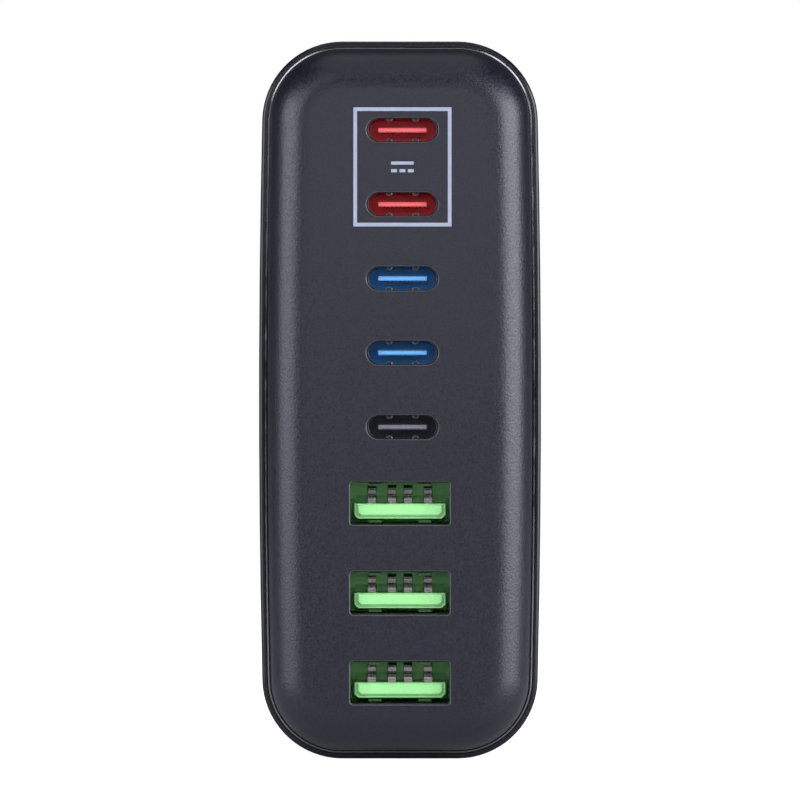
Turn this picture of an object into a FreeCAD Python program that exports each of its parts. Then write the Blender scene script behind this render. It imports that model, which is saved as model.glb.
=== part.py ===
import FreeCAD, Part
import math
import os
import re
import Sketcher

# Wall charger with five oval ports and three wide ports, in mm.
# +Z is up, the ports look towards -Y and the back face stands against the wall at y = 0.
# The origin is midway between the two plug blades, on the back face.
# Depths are given as distances in front of the wall.

# Driving sizes: name, value, meaning
SIZES = [
    # Port column, which sets the height of the body
    ("top_margin", 11.3, "top of the body to the middle of the first oval port"),
    ("oval_pitch", 9.2, "from one oval port to the next"),
    ("oval_to_wide", 9.45, "last oval port to the first wide port"),
    ("wide_pitch", 11.1, "from one wide port to the next"),
    ("bottom_margin", 9.75, "last wide port to the bottom of the body"),
    ("oval_shift", 0.3, "oval column to the right of the middle"),
    # Body
    ("body_width", 35.2, "widest part of the body"),
    ("body_depth", 60, "wall to the front face"),
    ("side_bow", 0.65, "how far the long sides bulge over the full height"),
    ("corner_radius", 10, "corners seen from the front"),
    ("back_radius", 3, "edge round the back face"),
    ("shell_wall", 2, "side walls of the rear shell"),
    ("back_wall", 2, "back wall of the rear shell"),
    ("cover_depth", 6.5, "front cover in front of the shell lip"),
    ("lip_width", 0.59, "lip of the rear shell round the trim ring"),
    ("lip_radius", 0.5, "outer edge of the lip"),
    ("rabbet_depth", 1, "step behind the lip for ring and cover"),
    ("ring_gap", 0.15, "lip to trim ring"),
    ("ring_width", 0.18, "trim ring"),
    ("ring_proud", 0.1, "trim ring in front of the lip"),
    ("ring_slope_width", 0.15, "sloping front of the trim ring, across"),
    ("ring_slope_depth", 0.046, "sloping front of the trim ring, front to back"),
    ("seam_gap", 0.23, "trim ring to front cover"),
    ("cover_radius", 5, "soft edge of the front cover"),
    ("cover_wall", 1.8, "front wall of the cover"),
    ("cover_inner_radius", 2.5, "inner edge of the front wall"),
    ("skirt_wall", 1.2, "skirt of the cover inside the shell"),
    ("skirt_gap", 0.1, "skirt to shell wall"),
    ("clamp_gap", 0.05, "skirt to port board"),
    # Openings in the front cover
    ("port_lip", 0.6, "cover wall in front of the port mouths"),
    ("nose_gap", 0.15, "port shell in its pocket"),
    ("opening_radius", 0.18, "edge of the openings"),
    ("oval_opening_width", 8.9, "oval opening"),
    ("oval_opening_height", 3.06, "oval opening"),
    ("wide_opening_width", 12.35, "wide opening"),
    ("wide_opening_height", 5.43, "wide opening"),
    ("wide_opening_corner", 0.4, "corner of a wide opening"),
    # Ports
    ("port_length", 11.6, "port mouth to port board"),
    ("port_fit", 0.02, "insulator in its shell"),
    ("mouth_radius", 0.12, "front edges of the port shells"),
    ("oval_width", 8.92, "outside of an oval shell"),
    ("oval_height", 3.42, "outside of an oval shell"),
    ("oval_wall", 0.3, "sheet of an oval shell"),
    ("oval_base_depth", 6.2, "mouth to the base of an oval insulator"),
    ("oval_tongue_width", 6.1, "oval tongue"),
    ("oval_tongue_thickness", 0.55, "oval tongue without its contacts"),
    ("oval_tongue_setback", 0.9, "tongue tip behind the mouth"),
    ("oval_tongue_chamfer", 0.12, "tip of the oval tongue"),
    ("oval_step_thickness", 1.3, "thick root of the oval tongue"),
    ("oval_step_length", 1, "thick root of the oval tongue"),
    ("oval_contact_width", 0.25, "contact strip"),
    ("oval_contact_pitch", 0.5, "contact strips side by side"),
    ("oval_contact_thickness", 0.03, "contact strip"),
    ("oval_contact_setback", 0.6, "contact strip behind the tongue tip"),
    ("dimple_offset", 1.63, "dimples from the middle of an oval port"),
    ("dimple_width", 0.8, "dimple"),
    ("dimple_height", 0.36, "dimple into the mouth"),
    ("dimple_round", 0.26, "sides of a dimple"),
    ("dimple_nose", 0.16, "front edge of a dimple"),
    ("dimple_length", 1, "dimple"),
    ("dimple_setback", 0.5, "dimple behind the mouth"),
    ("wide_inner_width", 12.5, "inside of a wide shell"),
    ("wide_inner_height", 5.12, "inside of a wide shell"),
    ("wide_wall", 0.3, "sheet of a wide shell"),
    ("wide_corner", 0.35, "inner corner of a wide shell"),
    ("wide_base_depth", 8.9, "mouth to the base of a wide insulator"),
    ("wide_tongue_width", 11.25, "wide tongue"),
    ("wide_tongue_thickness", 1.84, "wide tongue"),
    ("wide_tongue_drop", 0.66, "lower shell wall to the wide tongue"),
    ("wide_tongue_setback", 0.9, "tongue tip behind the mouth"),
    ("wide_tip_inset", 0.26, "sides and underside of the tip inside the tongue"),
    ("wide_tip_length", 0.5, "tip in front of the tongue's shoulder"),
    ("wide_tip_chamfer", 0.24, "edges of the tip"),
    ("wide_tongue_corner", 0.45, "lower corners of the wide tongue"),
    ("wide_recess_height", 0.9, "recess in the base above the tongue"),
    ("wide_recess_depth", 1.6, "recess in the base above the tongue"),
    ("wide_shoulder", 0.45, "recess beside the tongue above its top"),
    ("wide_under_depth", 1.9, "recess in the base beside and under the tongue"),
    ("wide_slot_width", 1.1, "contact slot in the base"),
    ("wide_slot_height", 2.25, "contact slot in the base"),
    ("wide_contact_width", 1, "contact strip"),
    ("wide_contact_thickness", 0.3, "contact strip"),
    ("wide_contact_setback", 1.2, "contact strip behind the tongue tip"),
    ("riser_height", 1.9, "upright part of a contact in its slot"),
    ("riser_setback", 0.5, "upright part behind the front of the base"),
    ("roll_radius", 0.16, "rolled edges of the upright part"),
    ("roll_height", 0.9, "lower rolled edge above the tongue"),
    ("hump_height", 0.65, "raised part of a contact on the tongue"),
    ("hump_length", 1.1, "raised part of a contact on the tongue"),
    ("hump_setback", 0.4, "raised part behind the end of the contact"),
    ("inner_contact_offset", 1, "inner pair of contacts from the middle"),
    ("outer_contact_offset", 3.5, "outer pair of contacts from the middle"),
    ("leaf_offset", 3.1, "spring leaves from the middle"),
    ("leaf_width", 1.6, "spring leaf"),
    ("leaf_length", 4.5, "spring leaf"),
    ("leaf_drop", 0.45, "spring leaf into the mouth"),
    ("leaf_setback", 1.6, "spring leaf behind the mouth"),
    ("leaf_slit", 0.25, "slit round a spring leaf"),
    # Plug
    ("blade_rise", 16, "blades above the middle of the body"),
    ("blade_spread", 12.7, "blades from middle to middle"),
    ("blade_height", 6.35, "blade"),
    ("blade_thickness", 1.5, "blade"),
    ("blade_length", 16.5, "blade behind the back face"),
    ("blade_corner", 1.6, "corners of the blade tip"),
    ("blade_chamfer", 0.45, "sides of the blade tip"),
    ("blade_hole_radius", 1.6, "hole in the blade"),
    ("blade_hole_setback", 11.9, "hole from the back face"),
    ("tail_length", 4, "blade tail in front of the insert"),
    ("tail_step", 3, "how much further the longer tail reaches"),
    ("insert_width", 22, "plug insert"),
    ("insert_height", 13, "plug insert"),
    ("insert_corner", 3, "plug insert"),
    ("insert_fit", 0.1, "insert in the back wall"),
    ("flange_reach", 2, "flange of the insert round its opening"),
    ("flange_thickness", 2, "flange of the insert"),
    ("strip_height", 2, "strip from blade tail to main board"),
    ("strip_depth", 1.6, "strip from blade tail to main board"),
    # Boards and supports
    ("board_thickness", 1.6, "boards"),
    ("board_standoff", 0.45, "main board to the bowed wall"),
    ("board_back_gap", 0.5, "main board to the flange of the plug insert"),
    ("board_overrun", 2.5, "main board past the start of the corners"),
    ("port_board_margin", 0.4, "port board to shell wall"),
    ("post_size", 4, "posts on the side walls"),
    ("post_height", 22, "posts above and below the middle"),
    ("post_inset", 6, "posts from the edges of what they carry"),
    ("ledge_width", 8, "ledges behind the port board"),
    ("ledge_reach", 2, "ledges behind the port board"),
    ("ledge_depth", 4, "ledges behind the port board"),
    ("part_gap", 1.2, "neighbouring components"),
    # Components on the main board
    ("fuse_radius", 4, "round fuse"),
    ("fuse_length", 8, "round fuse"),
    ("disc_radius", 4.2, "disc components"),
    ("disc_thickness", 3.6, "disc components"),
    ("disc_pitch", 8, "disc components"),
    ("lead_radius", 0.35, "leads of the discs"),
    ("lead_rise", 1.5, "discs above the board"),
    ("lead_spread", 5, "leads of the discs"),
    ("film_length", 13, "line filter capacitor"),
    ("film_width", 6, "line filter capacitor"),
    ("film_tall", 12, "line filter capacitor"),
    ("choke_radius", 7, "filter choke with its windings"),
    ("choke_bore", 2.4, "filter choke inside its windings"),
    ("choke_wire", 1, "winding thickness of the choke"),
    ("choke_tall", 9, "filter choke with its windings"),
    ("choke_split", 3, "space between the two windings"),
    ("bridge_length", 14, "bridge rectifier"),
    ("bridge_thickness", 3.5, "bridge rectifier"),
    ("bridge_tall", 11, "bridge rectifier"),
    ("boost_window", 1.9, "windows of the boost inductor core"),
    ("boost_depth", 10, "boost inductor core"),
    ("boost_tall", 13, "boost inductor core"),
    ("boost_leg", 4, "middle leg of the boost inductor"),
    ("boost_outer_leg", 1.6, "outer legs of the boost inductor"),
    ("boost_yoke", 2.2, "yokes of the boost inductor"),
    ("card_length", 17, "control card"),
    ("card_tall", 15, "control card"),
    ("card_thickness", 1, "control card"),
    ("chip_size", 6, "power transistors"),
    ("chip_thickness", 0.9, "power transistors and controllers"),
    ("transformer_window", 3, "windows of the transformer core"),
    ("transformer_depth", 12, "transformer core"),
    ("transformer_tall", 21, "transformer core"),
    ("transformer_leg", 6, "middle leg of the transformer"),
    ("transformer_outer_leg", 3, "outer legs of the transformer"),
    ("transformer_yoke", 4, "yokes of the transformer"),
    ("bobbin_wall", 0.6, "transformer bobbin"),
    ("bobbin_flange", 0.8, "transformer bobbin"),
    ("bobbin_fit", 0.1, "bobbin in the core"),
    ("output_radius", 3.2, "output capacitors"),
    ("output_length", 11, "output capacitors"),
    ("bulk_radius", 5, "bulk capacitors"),
    ("bulk_length", 20, "bulk capacitors"),
    ("safety_radius", 4, "safety capacitor"),
    # Heat path on the left side
    ("pad_thickness", 1.5, "soft pad on the transformer"),
    ("sheet_thickness", 0.3, "insulation sheet"),
    ("spreader_thickness", 0.8, "heat spreader"),
    ("spreader_margin", 4, "heat spreader to the ends of the main board"),
    # Components on the port board
    ("buck_size", 7, "buck inductors"),
    ("buck_tall", 4.2, "buck inductors"),
    ("buck_margin", 3.1, "buck inductors to the left edge of the port board"),
    ("controller_size", 5, "port controllers"),
    ("controller_gap", 1.5, "port controllers to the buck inductors"),
]

OVAL_PORTS = 5
WIDE_PORTS = 3
OVAL_CONTACTS = 12

doc = FreeCAD.newDocument("WallCharger")
sheet = doc.addObject("Spreadsheet::Sheet", "Sizes")
for row, (size_name, size_value, meaning) in enumerate(SIZES, start=1):
    sheet.set(f"A{row}", size_name)
    sheet.set(f"B{row}", str(size_value))
    sheet.set(f"C{row}", meaning)
    sheet.setAlias(f"B{row}", size_name)
doc.recompute()

SIZE_NAMES = {size[0] for size in SIZES}
parts = {}


def linked(text):
    """The expression with every size name pointing at its spreadsheet cell."""

    def cell(match):
        word = match.group(0)
        return f"Sizes.{word}" if word in SIZE_NAMES else word

    return re.sub(r"[a-z_]+", cell, text)


def value(text):
    """The present value of an expression of sizes."""
    return float(sheet.evalExpression(linked(text)))


def bind(thing, prop, text):
    """Ties a property to an expression of sizes."""
    thing.setExpression(prop, linked(text))


def keep(thing, label):
    """Marks a document object as a finished sub-part."""
    thing.Label = label
    parts[label] = thing
    return thing


# Positions that several pieces share, as expressions of sizes
HEIGHT = (
    f"(top_margin + {OVAL_PORTS - 1} * oval_pitch + oval_to_wide"
    f" + {WIDE_PORTS - 1} * wide_pitch + bottom_margin)"
)
BOW = f"(({HEIGHT} * {HEIGHT} / 4 + side_bow * side_bow) / (2 * side_bow))"
LIP = "(body_depth - cover_depth)"
RABBET = f"({LIP} - rabbet_depth)"
CEILING = "(body_depth - cover_wall)"
MOUTH = "(body_depth - port_lip)"
PORT_BOARD_FRONT = f"({MOUTH} - port_length)"
PORT_BOARD_BACK = f"({PORT_BOARD_FRONT} - board_thickness)"
COVER_INSET = "(lip_width + ring_gap + ring_width + seam_gap)"
SKIRT_INSET = "(shell_wall + skirt_gap)"
WALL_MIDDLE = "(body_width / 2 - side_bow - shell_wall / 2)"
BOARD_OUTER = "(body_width / 2 - shell_wall - side_bow - board_standoff)"
BOARD_FACE = f"({BOARD_OUTER} - board_thickness)"
BOARD_BACK = "(back_wall + flange_thickness + board_back_gap)"
BOARD_TOP = f"({HEIGHT} / 2 - corner_radius + board_overrun)"
PARTS_FRONT = f"({PORT_BOARD_BACK} - buck_tall)"


def oval_z(index):
    """Height of an oval port above the middle of the body."""
    return f"({HEIGHT} / 2 - top_margin - {index} * oval_pitch)"


def wide_z(index):
    """Height of a wide port above the middle of the body."""
    return f"(-{HEIGHT} / 2 + bottom_margin + {WIDE_PORTS - 1 - index} * wide_pitch)"


# Sketches


def new_body(name, label):
    """An empty body centred on the middle of the charger."""
    body = doc.addObject("PartDesign::Body", name)
    bind(body, "Placement.Base.z", "-blade_rise")
    return keep(body, label)


def new_sketch(body, name, plane, offset):
    """A sketch on one of the body's own planes, moved along the plane's normal."""
    sketch = body.newObject("Sketcher::SketchObject", name)
    support = [f for f in body.Origin.OriginFeatures if f.Role == plane][0]
    sketch.AttachmentSupport = [(support, "")]
    sketch.MapMode = "FlatFace"
    bind(sketch, "AttachmentOffset.Base.z", offset)
    return sketch


def front_sketch(body, name, depth):
    """A sketch seen from the front, at a distance in front of the wall."""
    return new_sketch(body, name, "XZ_Plane", depth)


def constrain(sketch, text, *definition):
    """Adds a constraint with a value that follows an expression of sizes."""
    index = sketch.addConstraint(Sketcher.Constraint(*definition, value(text)))
    sketch.renameConstraint(index, f"size_{index}")
    bind(sketch, f"Constraints.size_{index}", text)


def pin(sketch, axis, geometry, point, text):
    """Fixes one coordinate of a point by its signed distance from the sketch's origin."""
    if value(text) >= 0:
        constrain(sketch, text, f"Distance{axis}", -1, 1, geometry, point)
    else:
        constrain(sketch, f"-({text})", f"Distance{axis}", geometry, point, -1, 1)


def vector(across, up):
    return FreeCAD.Vector(across, up, 0)


def arc(middle, radius, start, end):
    """An arc drawn anticlockwise between two angles in radians."""
    circle = Part.Circle(middle, vector(0, 0) + FreeCAD.Vector(0, 0, 1), radius)
    return Part.ArcOfCircle(circle, start, end)


def line(start, end):
    return Part.LineSegment(start, end)


def join_tangent(sketch, first, count):
    """Joins a closed run of curves end to end, each tangent to the next."""
    for step in range(count):
        here = first + step
        following = first + (step + 1) % count
        sketch.addConstraint(Sketcher.Constraint("Tangent", here, 2, following, 1))


def polygon(sketch, corners):
    """A closed polygon with every corner fixed by two expressions."""
    points = [vector(value(across), value(up)) for across, up in corners]
    first = sketch.GeometryCount
    count = len(points)
    for index in range(count):
        sketch.addGeometry(line(points[index], points[(index + 1) % count]), False)
    for index in range(count):
        here = first + index
        following = first + (index + 1) % count
        sketch.addConstraint(Sketcher.Constraint("Coincident", here, 2, following, 1))
    for index, (across, up) in enumerate(corners):
        pin(sketch, "X", first + index, 1, across)
        pin(sketch, "Y", first + index, 1, up)


def rectangle(sketch, across, up):
    """A rectangle between two limits each way."""
    polygon(
        sketch,
        [(across[0], up[0]), (across[1], up[0]), (across[1], up[1]), (across[0], up[1])],
    )


def obround(sketch, x, z, width, height):
    """A slot with round ends about a middle point."""
    radius = f"(({height}) / 2)"
    left = f"({x} - ({width}) / 2 + {radius})"
    right = f"({x} + ({width}) / 2 - {radius})"
    size = value(radius)
    low = value(z) - size
    high = value(z) + size
    first = sketch.GeometryCount
    sketch.addGeometry(line(vector(value(left), low), vector(value(right), low)), False)
    sketch.addGeometry(
        arc(vector(value(right), value(z)), size, -math.pi / 2, math.pi / 2), False
    )
    sketch.addGeometry(line(vector(value(right), high), vector(value(left), high)), False)
    sketch.addGeometry(
        arc(vector(value(left), value(z)), size, math.pi / 2, 3 * math.pi / 2), False
    )
    join_tangent(sketch, first, 4)
    sketch.addConstraint(Sketcher.Constraint("Horizontal", first))
    sketch.addConstraint(Sketcher.Constraint("Equal", first + 1, first + 3))
    constrain(sketch, radius, "Radius", first + 1)
    pin(sketch, "X", first + 1, 3, right)
    pin(sketch, "Y", first + 1, 3, z)
    pin(sketch, "X", first + 3, 3, left)


def round_rectangle(sketch, x, z, width, height, corner):
    """A rectangle with rounded corners about a middle point."""
    left = value(f"{x} - ({width}) / 2")
    right = value(f"{x} + ({width}) / 2")
    low = value(f"{z} - ({height}) / 2")
    high = value(f"{z} + ({height}) / 2")
    radius = value(corner)
    quarter = math.pi / 2
    first = sketch.GeometryCount
    curves = [
        line(vector(left + radius, low), vector(right - radius, low)),
        arc(vector(right - radius, low + radius), radius, -quarter, 0),
        line(vector(right, low + radius), vector(right, high - radius)),
        arc(vector(right - radius, high - radius), radius, 0, quarter),
        line(vector(right - radius, high), vector(left + radius, high)),
        arc(vector(left + radius, high - radius), radius, quarter, 2 * quarter),
        line(vector(left, high - radius), vector(left, low + radius)),
        arc(vector(left + radius, low + radius), radius, 2 * quarter, 3 * quarter),
    ]
    for curve in curves:
        sketch.addGeometry(curve, False)
    join_tangent(sketch, first, 8)
    for side in (0, 4):
        sketch.addConstraint(Sketcher.Constraint("Horizontal", first + side))
    for side in (2, 6):
        sketch.addConstraint(Sketcher.Constraint("Vertical", first + side))
    constrain(sketch, corner, "Radius", first + 1)
    for other in (3, 5, 7):
        sketch.addConstraint(Sketcher.Constraint("Equal", first + 1, first + other))
    pin(sketch, "Y", first, 1, f"({z} - ({height}) / 2)")
    pin(sketch, "X", first + 2, 1, f"({x} + ({width}) / 2)")
    pin(sketch, "Y", first + 4, 1, f"({z} + ({height}) / 2)")
    pin(sketch, "X", first + 6, 1, f"({x} - ({width}) / 2)")


def outline(sketch, inset):
    """The outline of the body with gently bowed long sides, moved inwards by an inset."""
    half = value(f"{HEIGHT} / 2 - ({inset})")
    corner = value(f"corner_radius - ({inset})")
    bow = value(f"{BOW} - ({inset})")
    bow_x = value(f"body_width / 2 - {BOW}")
    corner_z = half - corner
    corner_x = bow_x + math.sqrt((bow - corner) ** 2 - corner_z**2)
    lean = math.atan2(corner_z, corner_x - bow_x)
    quarter = math.pi / 2
    first = sketch.GeometryCount
    curves = [
        arc(vector(bow_x, 0), bow, -lean, lean),
        arc(vector(corner_x, corner_z), corner, lean, quarter),
        line(vector(corner_x, half), vector(-corner_x, half)),
        arc(vector(-corner_x, corner_z), corner, quarter, math.pi - lean),
        arc(vector(-bow_x, 0), bow, math.pi - lean, math.pi + lean),
        arc(vector(-corner_x, -corner_z), corner, math.pi + lean, 3 * quarter),
        line(vector(-corner_x, -half), vector(corner_x, -half)),
        arc(vector(corner_x, -corner_z), corner, -quarter, -lean),
    ]
    for curve in curves:
        sketch.addGeometry(curve, False)
    join_tangent(sketch, first, 8)
    for side in (2, 6):
        sketch.addConstraint(Sketcher.Constraint("Horizontal", first + side))
    constrain(sketch, f"corner_radius - ({inset})", "Radius", first + 1)
    for other in (3, 5, 7):
        sketch.addConstraint(Sketcher.Constraint("Equal", first + 1, first + other))
    for side, across in ((0, f"body_width / 2 - {BOW}"), (4, f"{BOW} - body_width / 2")):
        constrain(sketch, f"{BOW} - ({inset})", "Radius", first + side)
        pin(sketch, "X", first + side, 3, across)
        sketch.addConstraint(Sketcher.Constraint("PointOnObject", first + side, 3, -1))
    pin(sketch, "Y", first + 2, 1, f"{HEIGHT} / 2 - ({inset})")
    pin(sketch, "Y", first + 6, 1, f"({inset}) - {HEIGHT} / 2")


# Features


def pad(body, name, sketch, length, backwards=False):
    """Adds material along the sketch's normal, or against it."""
    feature = body.newObject("PartDesign::Pad", name)
    feature.Profile = sketch
    bind(feature, "Length", length)
    feature.Reversed = backwards
    sketch.Visibility = False
    return feature


def pocket(body, name, sketch, length, forwards=False):
    """Removes material against the sketch's normal, or along it; it must remove something."""
    doc.recompute()
    before = body.Shape.Volume
    feature = body.newObject("PartDesign::Pocket", name)
    feature.Profile = sketch
    bind(feature, "Length", length)
    feature.Reversed = forwards
    sketch.Visibility = False
    doc.recompute()
    if not body.Shape.Volume < before - 1e-6:
        raise RuntimeError(f"{body.Label}: {name} removes nothing")
    return feature


def dress(body, kind, name, prop, size, chosen):
    """Rounds or bevels the edges of the body for which chosen(edge) is true."""
    doc.recompute()
    base = body.Tip
    names = [
        f"Edge{number}"
        for number, edge in enumerate(base.Shape.Edges, start=1)
        if chosen(edge)
    ]
    if not names:
        raise RuntimeError(f"{body.Label}: {name} finds no edge")
    feature = body.newObject(f"PartDesign::{kind}", name)
    feature.Base = (base, names)
    bind(feature, prop, size)
    return feature


def fillet(body, name, radius, chosen):
    return dress(body, "Fillet", name, "Radius", radius, chosen)


def chamfer(body, name, size, chosen):
    return dress(body, "Chamfer", name, "Size", size, chosen)


def at_depth(edge, depth):
    """True for an edge that lies wholly at one distance in front of the wall."""
    box = edge.BoundBox
    return abs(box.YMin + depth) < 1e-4 and abs(box.YMax + depth) < 1e-4


# Plain solids between limits


def block(name, x, depth, z):
    """A box between limits across, in front of the wall and above the middle of the body."""
    box = doc.addObject("Part::Box", name)
    bind(box, "Length", f"({x[1]}) - ({x[0]})")
    bind(box, "Width", f"({depth[1]}) - ({depth[0]})")
    bind(box, "Height", f"({z[1]}) - ({z[0]})")
    bind(box, "Placement.Base.x", x[0])
    bind(box, "Placement.Base.y", f"-({depth[1]})")
    bind(box, "Placement.Base.z", f"({z[0]}) - blade_rise")
    return box


def around(middle, size):
    """Limits on both sides of a middle."""
    return (f"({middle} - ({size}) / 2)", f"({middle} + ({size}) / 2)")


def rod(name, radius, x, depth, z):
    """A round bar across the charger between two limits of x."""
    bar = doc.addObject("Part::Cylinder", name)
    bind(bar, "Radius", radius)
    bind(bar, "Height", f"({x[1]}) - ({x[0]})")
    bar.Placement.Rotation = FreeCAD.Rotation(FreeCAD.Vector(0, 1, 0), 90)
    bind(bar, "Placement.Base.x", x[0])
    bind(bar, "Placement.Base.y", f"-({depth})")
    bind(bar, "Placement.Base.z", f"({z}) - blade_rise")
    return bar


def disc(name, radius, x, depth, z):
    """A round disc facing forwards between two limits of depth."""
    plate = doc.addObject("Part::Cylinder", name)
    bind(plate, "Radius", radius)
    bind(plate, "Height", f"({depth[1]}) - ({depth[0]})")
    plate.Placement.Rotation = FreeCAD.Rotation(FreeCAD.Vector(1, 0, 0), 90)
    bind(plate, "Placement.Base.x", x)
    bind(plate, "Placement.Base.y", f"-({depth[0]})")
    bind(plate, "Placement.Base.z", f"({z}) - blade_rise")
    return plate


def cut(name, base, tool):
    feature = doc.addObject("Part::Cut", name)
    feature.Base = base
    feature.Tool = tool
    return feature


def fuse(name, shapes):
    feature = doc.addObject("Part::MultiFuse", name)
    feature.Shapes = shapes
    return feature


def group(name, shapes):
    """Separate like pieces that share one sub-part."""
    feature = doc.addObject("Part::Compound", name)
    feature.Links = shapes
    return feature


# Housing


def rear_shell():
    body = new_body("RearShell", "rear_shell")
    sketch = front_sketch(body, "ShellOutline", "0")
    outline(sketch, "0")
    pad(body, "ShellBlock", sketch, LIP)
    fillet(body, "BackEdge", "back_radius", lambda edge: at_depth(edge, 0))
    lip = value(LIP)
    fillet(body, "LipEdge", "lip_radius", lambda edge: at_depth(edge, lip))
    sketch = front_sketch(body, "CavityOutline", LIP)
    outline(sketch, "shell_wall")
    pocket(body, "Cavity", sketch, f"{LIP} - back_wall")
    sketch = front_sketch(body, "RabbetOutline", LIP)
    outline(sketch, "lip_width")
    pocket(body, "Rabbet", sketch, "rabbet_depth")
    sketch = front_sketch(body, "InsertOutline", "0")
    round_rectangle(sketch, "0", "blade_rise", "insert_width", "insert_height", "insert_corner")
    pocket(body, "InsertOpening", sketch, "2 * back_wall", forwards=True)
    # Posts that carry the main board on the right and the heat spreader on the left
    sketch = new_sketch(body, "BoardPostOutline", "YZ_Plane", BOARD_OUTER)
    post_outlines(sketch, BOARD_BACK, PORT_BOARD_BACK)
    pad(body, "BoardPosts", sketch, f"{WALL_MIDDLE} - {BOARD_OUTER}")
    sketch = new_sketch(body, "SpreaderPostOutline", "YZ_Plane", SPREADER_OUTER)
    post_outlines(sketch, SPREADER_BACK, SPREADER_FRONT)
    pad(body, "SpreaderPosts", sketch, f"{WALL_MIDDLE} + {SPREADER_OUTER}", backwards=True)
    # Ledges behind the port board, on the top and bottom walls
    sketch = front_sketch(body, "LedgeOutline", PORT_BOARD_BACK)
    wall = f"({HEIGHT} / 2 - shell_wall / 2)"
    edge = f"({HEIGHT} / 2 - shell_wall - ledge_reach)"
    rectangle(sketch, around("0", "ledge_width"), (edge, wall))
    rectangle(sketch, around("0", "ledge_width"), (f"-{wall}", f"-{edge}"))
    pad(body, "Ledges", sketch, "ledge_depth", backwards=True)


def post_outlines(sketch, back, front):
    """Four square posts near the corners of what they carry."""
    for depth in (f"({back} + post_inset)", f"({front} - post_inset)"):
        for height in ("post_height", "-post_height"):
            rectangle(sketch, around(f"-{depth}", "post_size"), around(height, "post_size"))


def trim_ring():
    body = new_body("TrimRing", "trim_ring")
    sketch = front_sketch(body, "RingOutline", RABBET)
    outline(sketch, "lip_width + ring_gap")
    outline(sketch, "lip_width + ring_gap + ring_width")
    pad(body, "Ring", sketch, "rabbet_depth + ring_proud")
    front = value(f"{LIP} + ring_proud")
    doc.recompute()
    face = next(face for face in body.Tip.Shape.Faces if at_depth(face, front))
    outer = face.OuterWire.Edges
    slope = chamfer(
        body,
        "RingSlope",
        "ring_slope_depth",
        lambda edge: any(edge.isSame(other) for other in outer),
    )
    slope.ChamferType = "Two distances"
    bind(slope, "Size2", "ring_slope_width")


def front_cover():
    body = new_body("FrontCover", "front_cover")
    sketch = front_sketch(body, "CoverOutline", RABBET)
    outline(sketch, COVER_INSET)
    pad(body, "CoverBlock", sketch, f"body_depth - {RABBET}")
    front = value("body_depth")
    fillet(body, "CoverEdge", "cover_radius", lambda edge: at_depth(edge, front))
    skirt_end = f"({PORT_BOARD_FRONT} + clamp_gap)"
    sketch = front_sketch(body, "SkirtOutline", RABBET)
    outline(sketch, SKIRT_INSET)
    pad(body, "Skirt", sketch, f"{RABBET} - {skirt_end}", backwards=True)
    sketch = front_sketch(body, "HollowOutline", skirt_end)
    outline(sketch, f"{SKIRT_INSET} + skirt_wall")
    pocket(body, "Hollow", sketch, f"{CEILING} - {skirt_end}", forwards=True)
    ceiling = value(CEILING)
    fillet(body, "HollowEdge", "cover_inner_radius", lambda edge: at_depth(edge, ceiling))
    # Pockets behind the openings for the noses of the port shells
    sketch = front_sketch(body, "NoseOutlines", CEILING)
    for index in range(OVAL_PORTS):
        obround(
            sketch,
            "oval_shift",
            oval_z(index),
            "oval_width + 2 * nose_gap",
            "oval_height + 2 * nose_gap",
        )
    for index in range(WIDE_PORTS):
        round_rectangle(
            sketch,
            "0",
            wide_z(index),
            "wide_inner_width + 2 * wide_wall + 2 * nose_gap",
            "wide_inner_height + 2 * wide_wall + 2 * nose_gap",
            "wide_corner + wide_wall + nose_gap",
        )
    pocket(body, "NosePockets", sketch, "cover_wall - port_lip", forwards=True)
    sketch = front_sketch(body, "OpeningOutlines", "body_depth")
    for index in range(OVAL_PORTS):
        obround(sketch, "oval_shift", oval_z(index), "oval_opening_width", "oval_opening_height")
    for index in range(WIDE_PORTS):
        round_rectangle(
            sketch,
            "0",
            wide_z(index),
            "wide_opening_width",
            "wide_opening_height",
            "wide_opening_corner",
        )
    pocket(body, "Openings", sketch, "cover_wall")
    fillet(body, "OpeningEdges", "opening_radius", opening_edge)


def opening_edge(edge):
    """True for a front edge of one of the port openings."""
    if not at_depth(edge, value("body_depth")):
        return False
    middle = edge.valueAt((edge.FirstParameter + edge.LastParameter) / 2)
    close = 0.01
    rows = [(oval_z(index), "oval") for index in range(OVAL_PORTS)]
    rows += [(wide_z(index), "wide") for index in range(WIDE_PORTS)]
    for height, kind in rows:
        shift = value("oval_shift") if kind == "oval" else 0
        half_width = value(f"{kind}_opening_width / 2") + close
        half_height = value(f"{kind}_opening_height / 2") + close
        if abs(middle.z - value(height)) < half_height and abs(middle.x - shift) < half_width:
            return True
    return False


# Plug


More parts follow.
